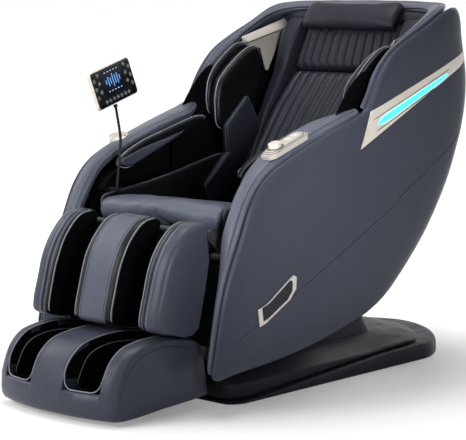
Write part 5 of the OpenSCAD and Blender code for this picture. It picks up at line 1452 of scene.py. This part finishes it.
def remote():
    def add(name, shape, mat, node=None, angle=42):
        verts, faces = shape
        build(name, on_tablet(verts), faces, mat, "tablet_body", "tablet_case", node, angle)

    def dots(name, spots, mat, size, y=-7.6):
        rows = ((0, y + 0.3), (0, y), (0.3, y - 0.05))
        add(name, merged(slab(w * size, h * size, min(w, h) * size * 0.46, rows, cx, cz, 3)
                         for cx, cz, w, h in spots), mat, angle=30)

    rows = ((30, 7.4), (12, 7.3), (5, 6.7), (2, 5.2), (0.6, 2.8), (0, 0), (0.2, -3.4), (0.9, -5.6),
            (2.0, -6.7), (3.2, -7.0), (3.4, -6.6), (6, -6.6))
    add("tablet_shell", slab(TABLET_W, TABLET_H, 12, rows), "tablet_case", "remote_tablet", 40)
    rows = ((0, -6.4), (0, -7.2), (0.5, -7.5), (8, -7.5))
    add("tablet_glass", slab(TABLET_W - 6.4, TABLET_H - 6.4, 9, rows), "glass_black")
    rows = ((0, -7.3), (0, -7.58), (0.3, -7.6))
    add("tablet_screen", slab(94, 76, 3, rows, 0, 12), "screen_dark")
    bars = [(-33 + 11 * i, 12, 5, h) for i, h in enumerate((14, 30, 22, 40, 26, 34, 16))]
    dots("screen_bars", bars, "icon_blue", 1, -7.7)
    dots("screen_marks", [(-30 + 15 * i, z, 7, 2) for i in range(5) for z in (41, -17)],
         "icon_white", 1, -7.7)
    keys = [(s * (66 + 20 * (j % 2)), 43 - 13 * j, 1, 1) for s in (-1, 1) for j in range(6)]
    keys += [(-57 + 19 * i, -42, 1, 1) for i in range(7)]
    dots("tablet_keys", keys, "button_grey", 12)
    dots("tablet_key_faces", keys, "glass_black", 9.4, -7.66)
    dots("tablet_key_marks", [(x, z, 4.6, 1.6) for x, z, _, _ in keys], "icon_white", 1, -7.76)
    # rear face: a raised spine with the hinge, and a speaker grille
    rows = ((0, 7.0), (0, 8.4), (0.8, 9.2), (6, 9.4))
    add("tablet_spine", slab(70, 40, 6, rows, -16, -30), "dark_plastic")
    holes = [(-30 + 6 * i, 26 - 5 * j) for i in range(11) for j in range(4)]
    rows = ((0, 7.2), (0, 7.75), (0.3, 7.8))
    add("tablet_grille", merged(slab(2.6, 2.6, 1.2, rows, cx, cz, 2) for cx, cz in holes),
        "seam_dark")


# ---- materials of the CAD nodes that stay, floor, light and camera -----------------------
def dress_nodes():
    for part in frame["record"]["subparts"]:
        node, slot = part["node"], part["material_slot"]
        obj = frame["nodes"].get(node)
        if obj is None or slot not in MATS or obj.type != "MESH":
            continue
        if not obj.data.materials:
            obj.data.materials.append(MATS[slot])
        for k in range(len(obj.data.materials)):
            obj.data.materials[k] = MATS[slot]


def white_rays(tree):
    """1 for the rays that should see a white surround: camera, glossy and transmission."""
    seen = new_node(tree, "ShaderNodeLightPath")
    total = seen.outputs["Is Camera Ray"]
    for kind in ("Is Glossy Ray", "Is Transmission Ray"):
        node = new_node(tree, "ShaderNodeMath", operation="MAXIMUM")
        tree.links.new(total, node.inputs[0])
        tree.links.new(seen.outputs[kind], node.inputs[1])
        total = node.outputs[0]
    return total


# Brightness of the room's light and of the floor, and where the floor's own glow starts, in metres;
# close to the chair the glow is low, which paints shade round its foot
ROOM_LIGHT, FLOOR_GREY = 0.14, 0.7
GLOW_FROM, GLOW_TO, GLOW_LOW = 0.6, 1.6, 0.22


def studio():
    """Pale floor, white surround and soft lamps."""
    mesh = bpy.data.meshes.new("floor")
    mesh.from_pydata([(-60, -60, 0), (60, -60, 0), (60, 60, 0), (-60, 60, 0)], [], [(0, 1, 2, 3)])
    floor = bpy.data.objects.new("floor", mesh)
    SCENE.collection.objects.link(floor)
    floor.location.z = -0.001
    mat = bpy.data.materials.new("floor_white")
    mat.use_nodes = True
    tree = mat.node_tree
    tree.nodes.clear()
    out = new_node(tree, "ShaderNodeOutputMaterial")
    both = new_node(tree, "ShaderNodeAddShader")
    diffuse = new_node(tree, "ShaderNodeBsdfDiffuse", Color=(*[FLOOR_GREY] * 3, 1))
    glow = new_node(tree, "ShaderNodeEmission", Strength=1.0)
    mix = new_node(tree, "ShaderNodeMixRGB", Color1=(0, 0, 0, 1))
    # The floor's own glow falls to GLOW_LOW close to the chair: painted shade round its foot, which
    # the lamps' light fills where it reaches.
    far = new_node(tree, "ShaderNodeMapRange")
    for i, v in enumerate((GLOW_FROM, GLOW_TO, GLOW_LOW, 1.0)):
        far.inputs[i + 1].default_value = v
    away = new_node(tree, "ShaderNodeVectorMath", operation="LENGTH")
    where = new_node(tree, "ShaderNodeTexCoord")
    tree.links.new(where.outputs["Object"], away.inputs[0])
    tree.links.new(away.outputs["Value"], far.inputs["Value"])
    tree.links.new(far.outputs["Result"], mix.inputs["Color2"])
    tree.links.new(white_rays(tree), mix.inputs["Fac"])
    tree.links.new(mix.outputs["Color"], glow.inputs["Color"])
    tree.links.new(diffuse.outputs[0], both.inputs[0])
    tree.links.new(glow.outputs[0], both.inputs[1])
    tree.links.new(both.outputs[0], out.inputs["Surface"])
    mesh.materials.append(mat)

    world = bpy.data.worlds.new("white_room")
    SCENE.world = world
    world.use_nodes = True
    tree = world.node_tree
    tree.nodes.clear()
    out = new_node(tree, "ShaderNodeOutputWorld")
    room, white = [new_node(tree, "ShaderNodeBackground", Color=(1, 1, 1, 1), Strength=v)
                   for v in (ROOM_LIGHT, 1.0)]
    blend = new_node(tree, "ShaderNodeMixShader")
    tree.links.new(white_rays(tree), blend.inputs["Fac"])
    tree.links.new(room.outputs[0], blend.inputs[1])
    tree.links.new(white.outputs[0], blend.inputs[2])
    tree.links.new(blend.outputs[0], out.inputs["Surface"])

    for name, at, aim, size, power, spread in (
            ("key", (2.3, -1.3, 1.05), (0.38, -0.12, 0.72), 0.6, 3.4, 40),
            ("front", (-1.0, -3.2, 2.0), (0, -0.5, 0.4), 1.6, 74, 180),
            ("left", (-3.2, -1.0, 2.4), (0, 0, 0.6), 1.8, 27, 180),
            ("top", (-0.3, -0.4, 4.2), (0, 0, 0.6), 2.4, 88, 180),
            ("rear", (0.1, 4.0, 2.7), (0, 0, 0.5), 1.8, 34, 180)):
        light = bpy.data.lights.new(name, "AREA")
        light.size, light.energy, light.spread = size, power, math.radians(spread)
        lamp = bpy.data.objects.new(name, light)
        SCENE.collection.objects.link(lamp)
        lamp.location = at
        lamp.rotation_euler = (Vector(aim) - Vector(at)).to_track_quat("-Z", "Y").to_euler()

    eye, look = Vector((3.735, -4.047, 1.203)), Vector((0, 0, 0.478))
    data = bpy.data.cameras.new("camera")
    data.lens, data.sensor_width, data.sensor_fit = 141.0, 36.0, "HORIZONTAL"
    cam = bpy.data.objects.new("camera", data)
    SCENE.collection.objects.link(cam)
    cam.location = eye
    cam.rotation_euler = (look - eye).to_track_quat("-Z", "Y").to_euler()
    SCENE.camera = cam
    SCENE.view_settings.view_transform = "Standard"


dress_nodes()
shells = side_panels()
panel_seams(shells)
arm_bands()
hood()
wing_cushions()
wing_lining()
rib_lines(*back_pads())
bolsters()
seat()
head()
calf_rest()
calf_shell()
foot_rest()
foot_lips()
base()
rear_cover()
wedge_lights()
emblems()
controls()
wing_bars()
remote()
studio()
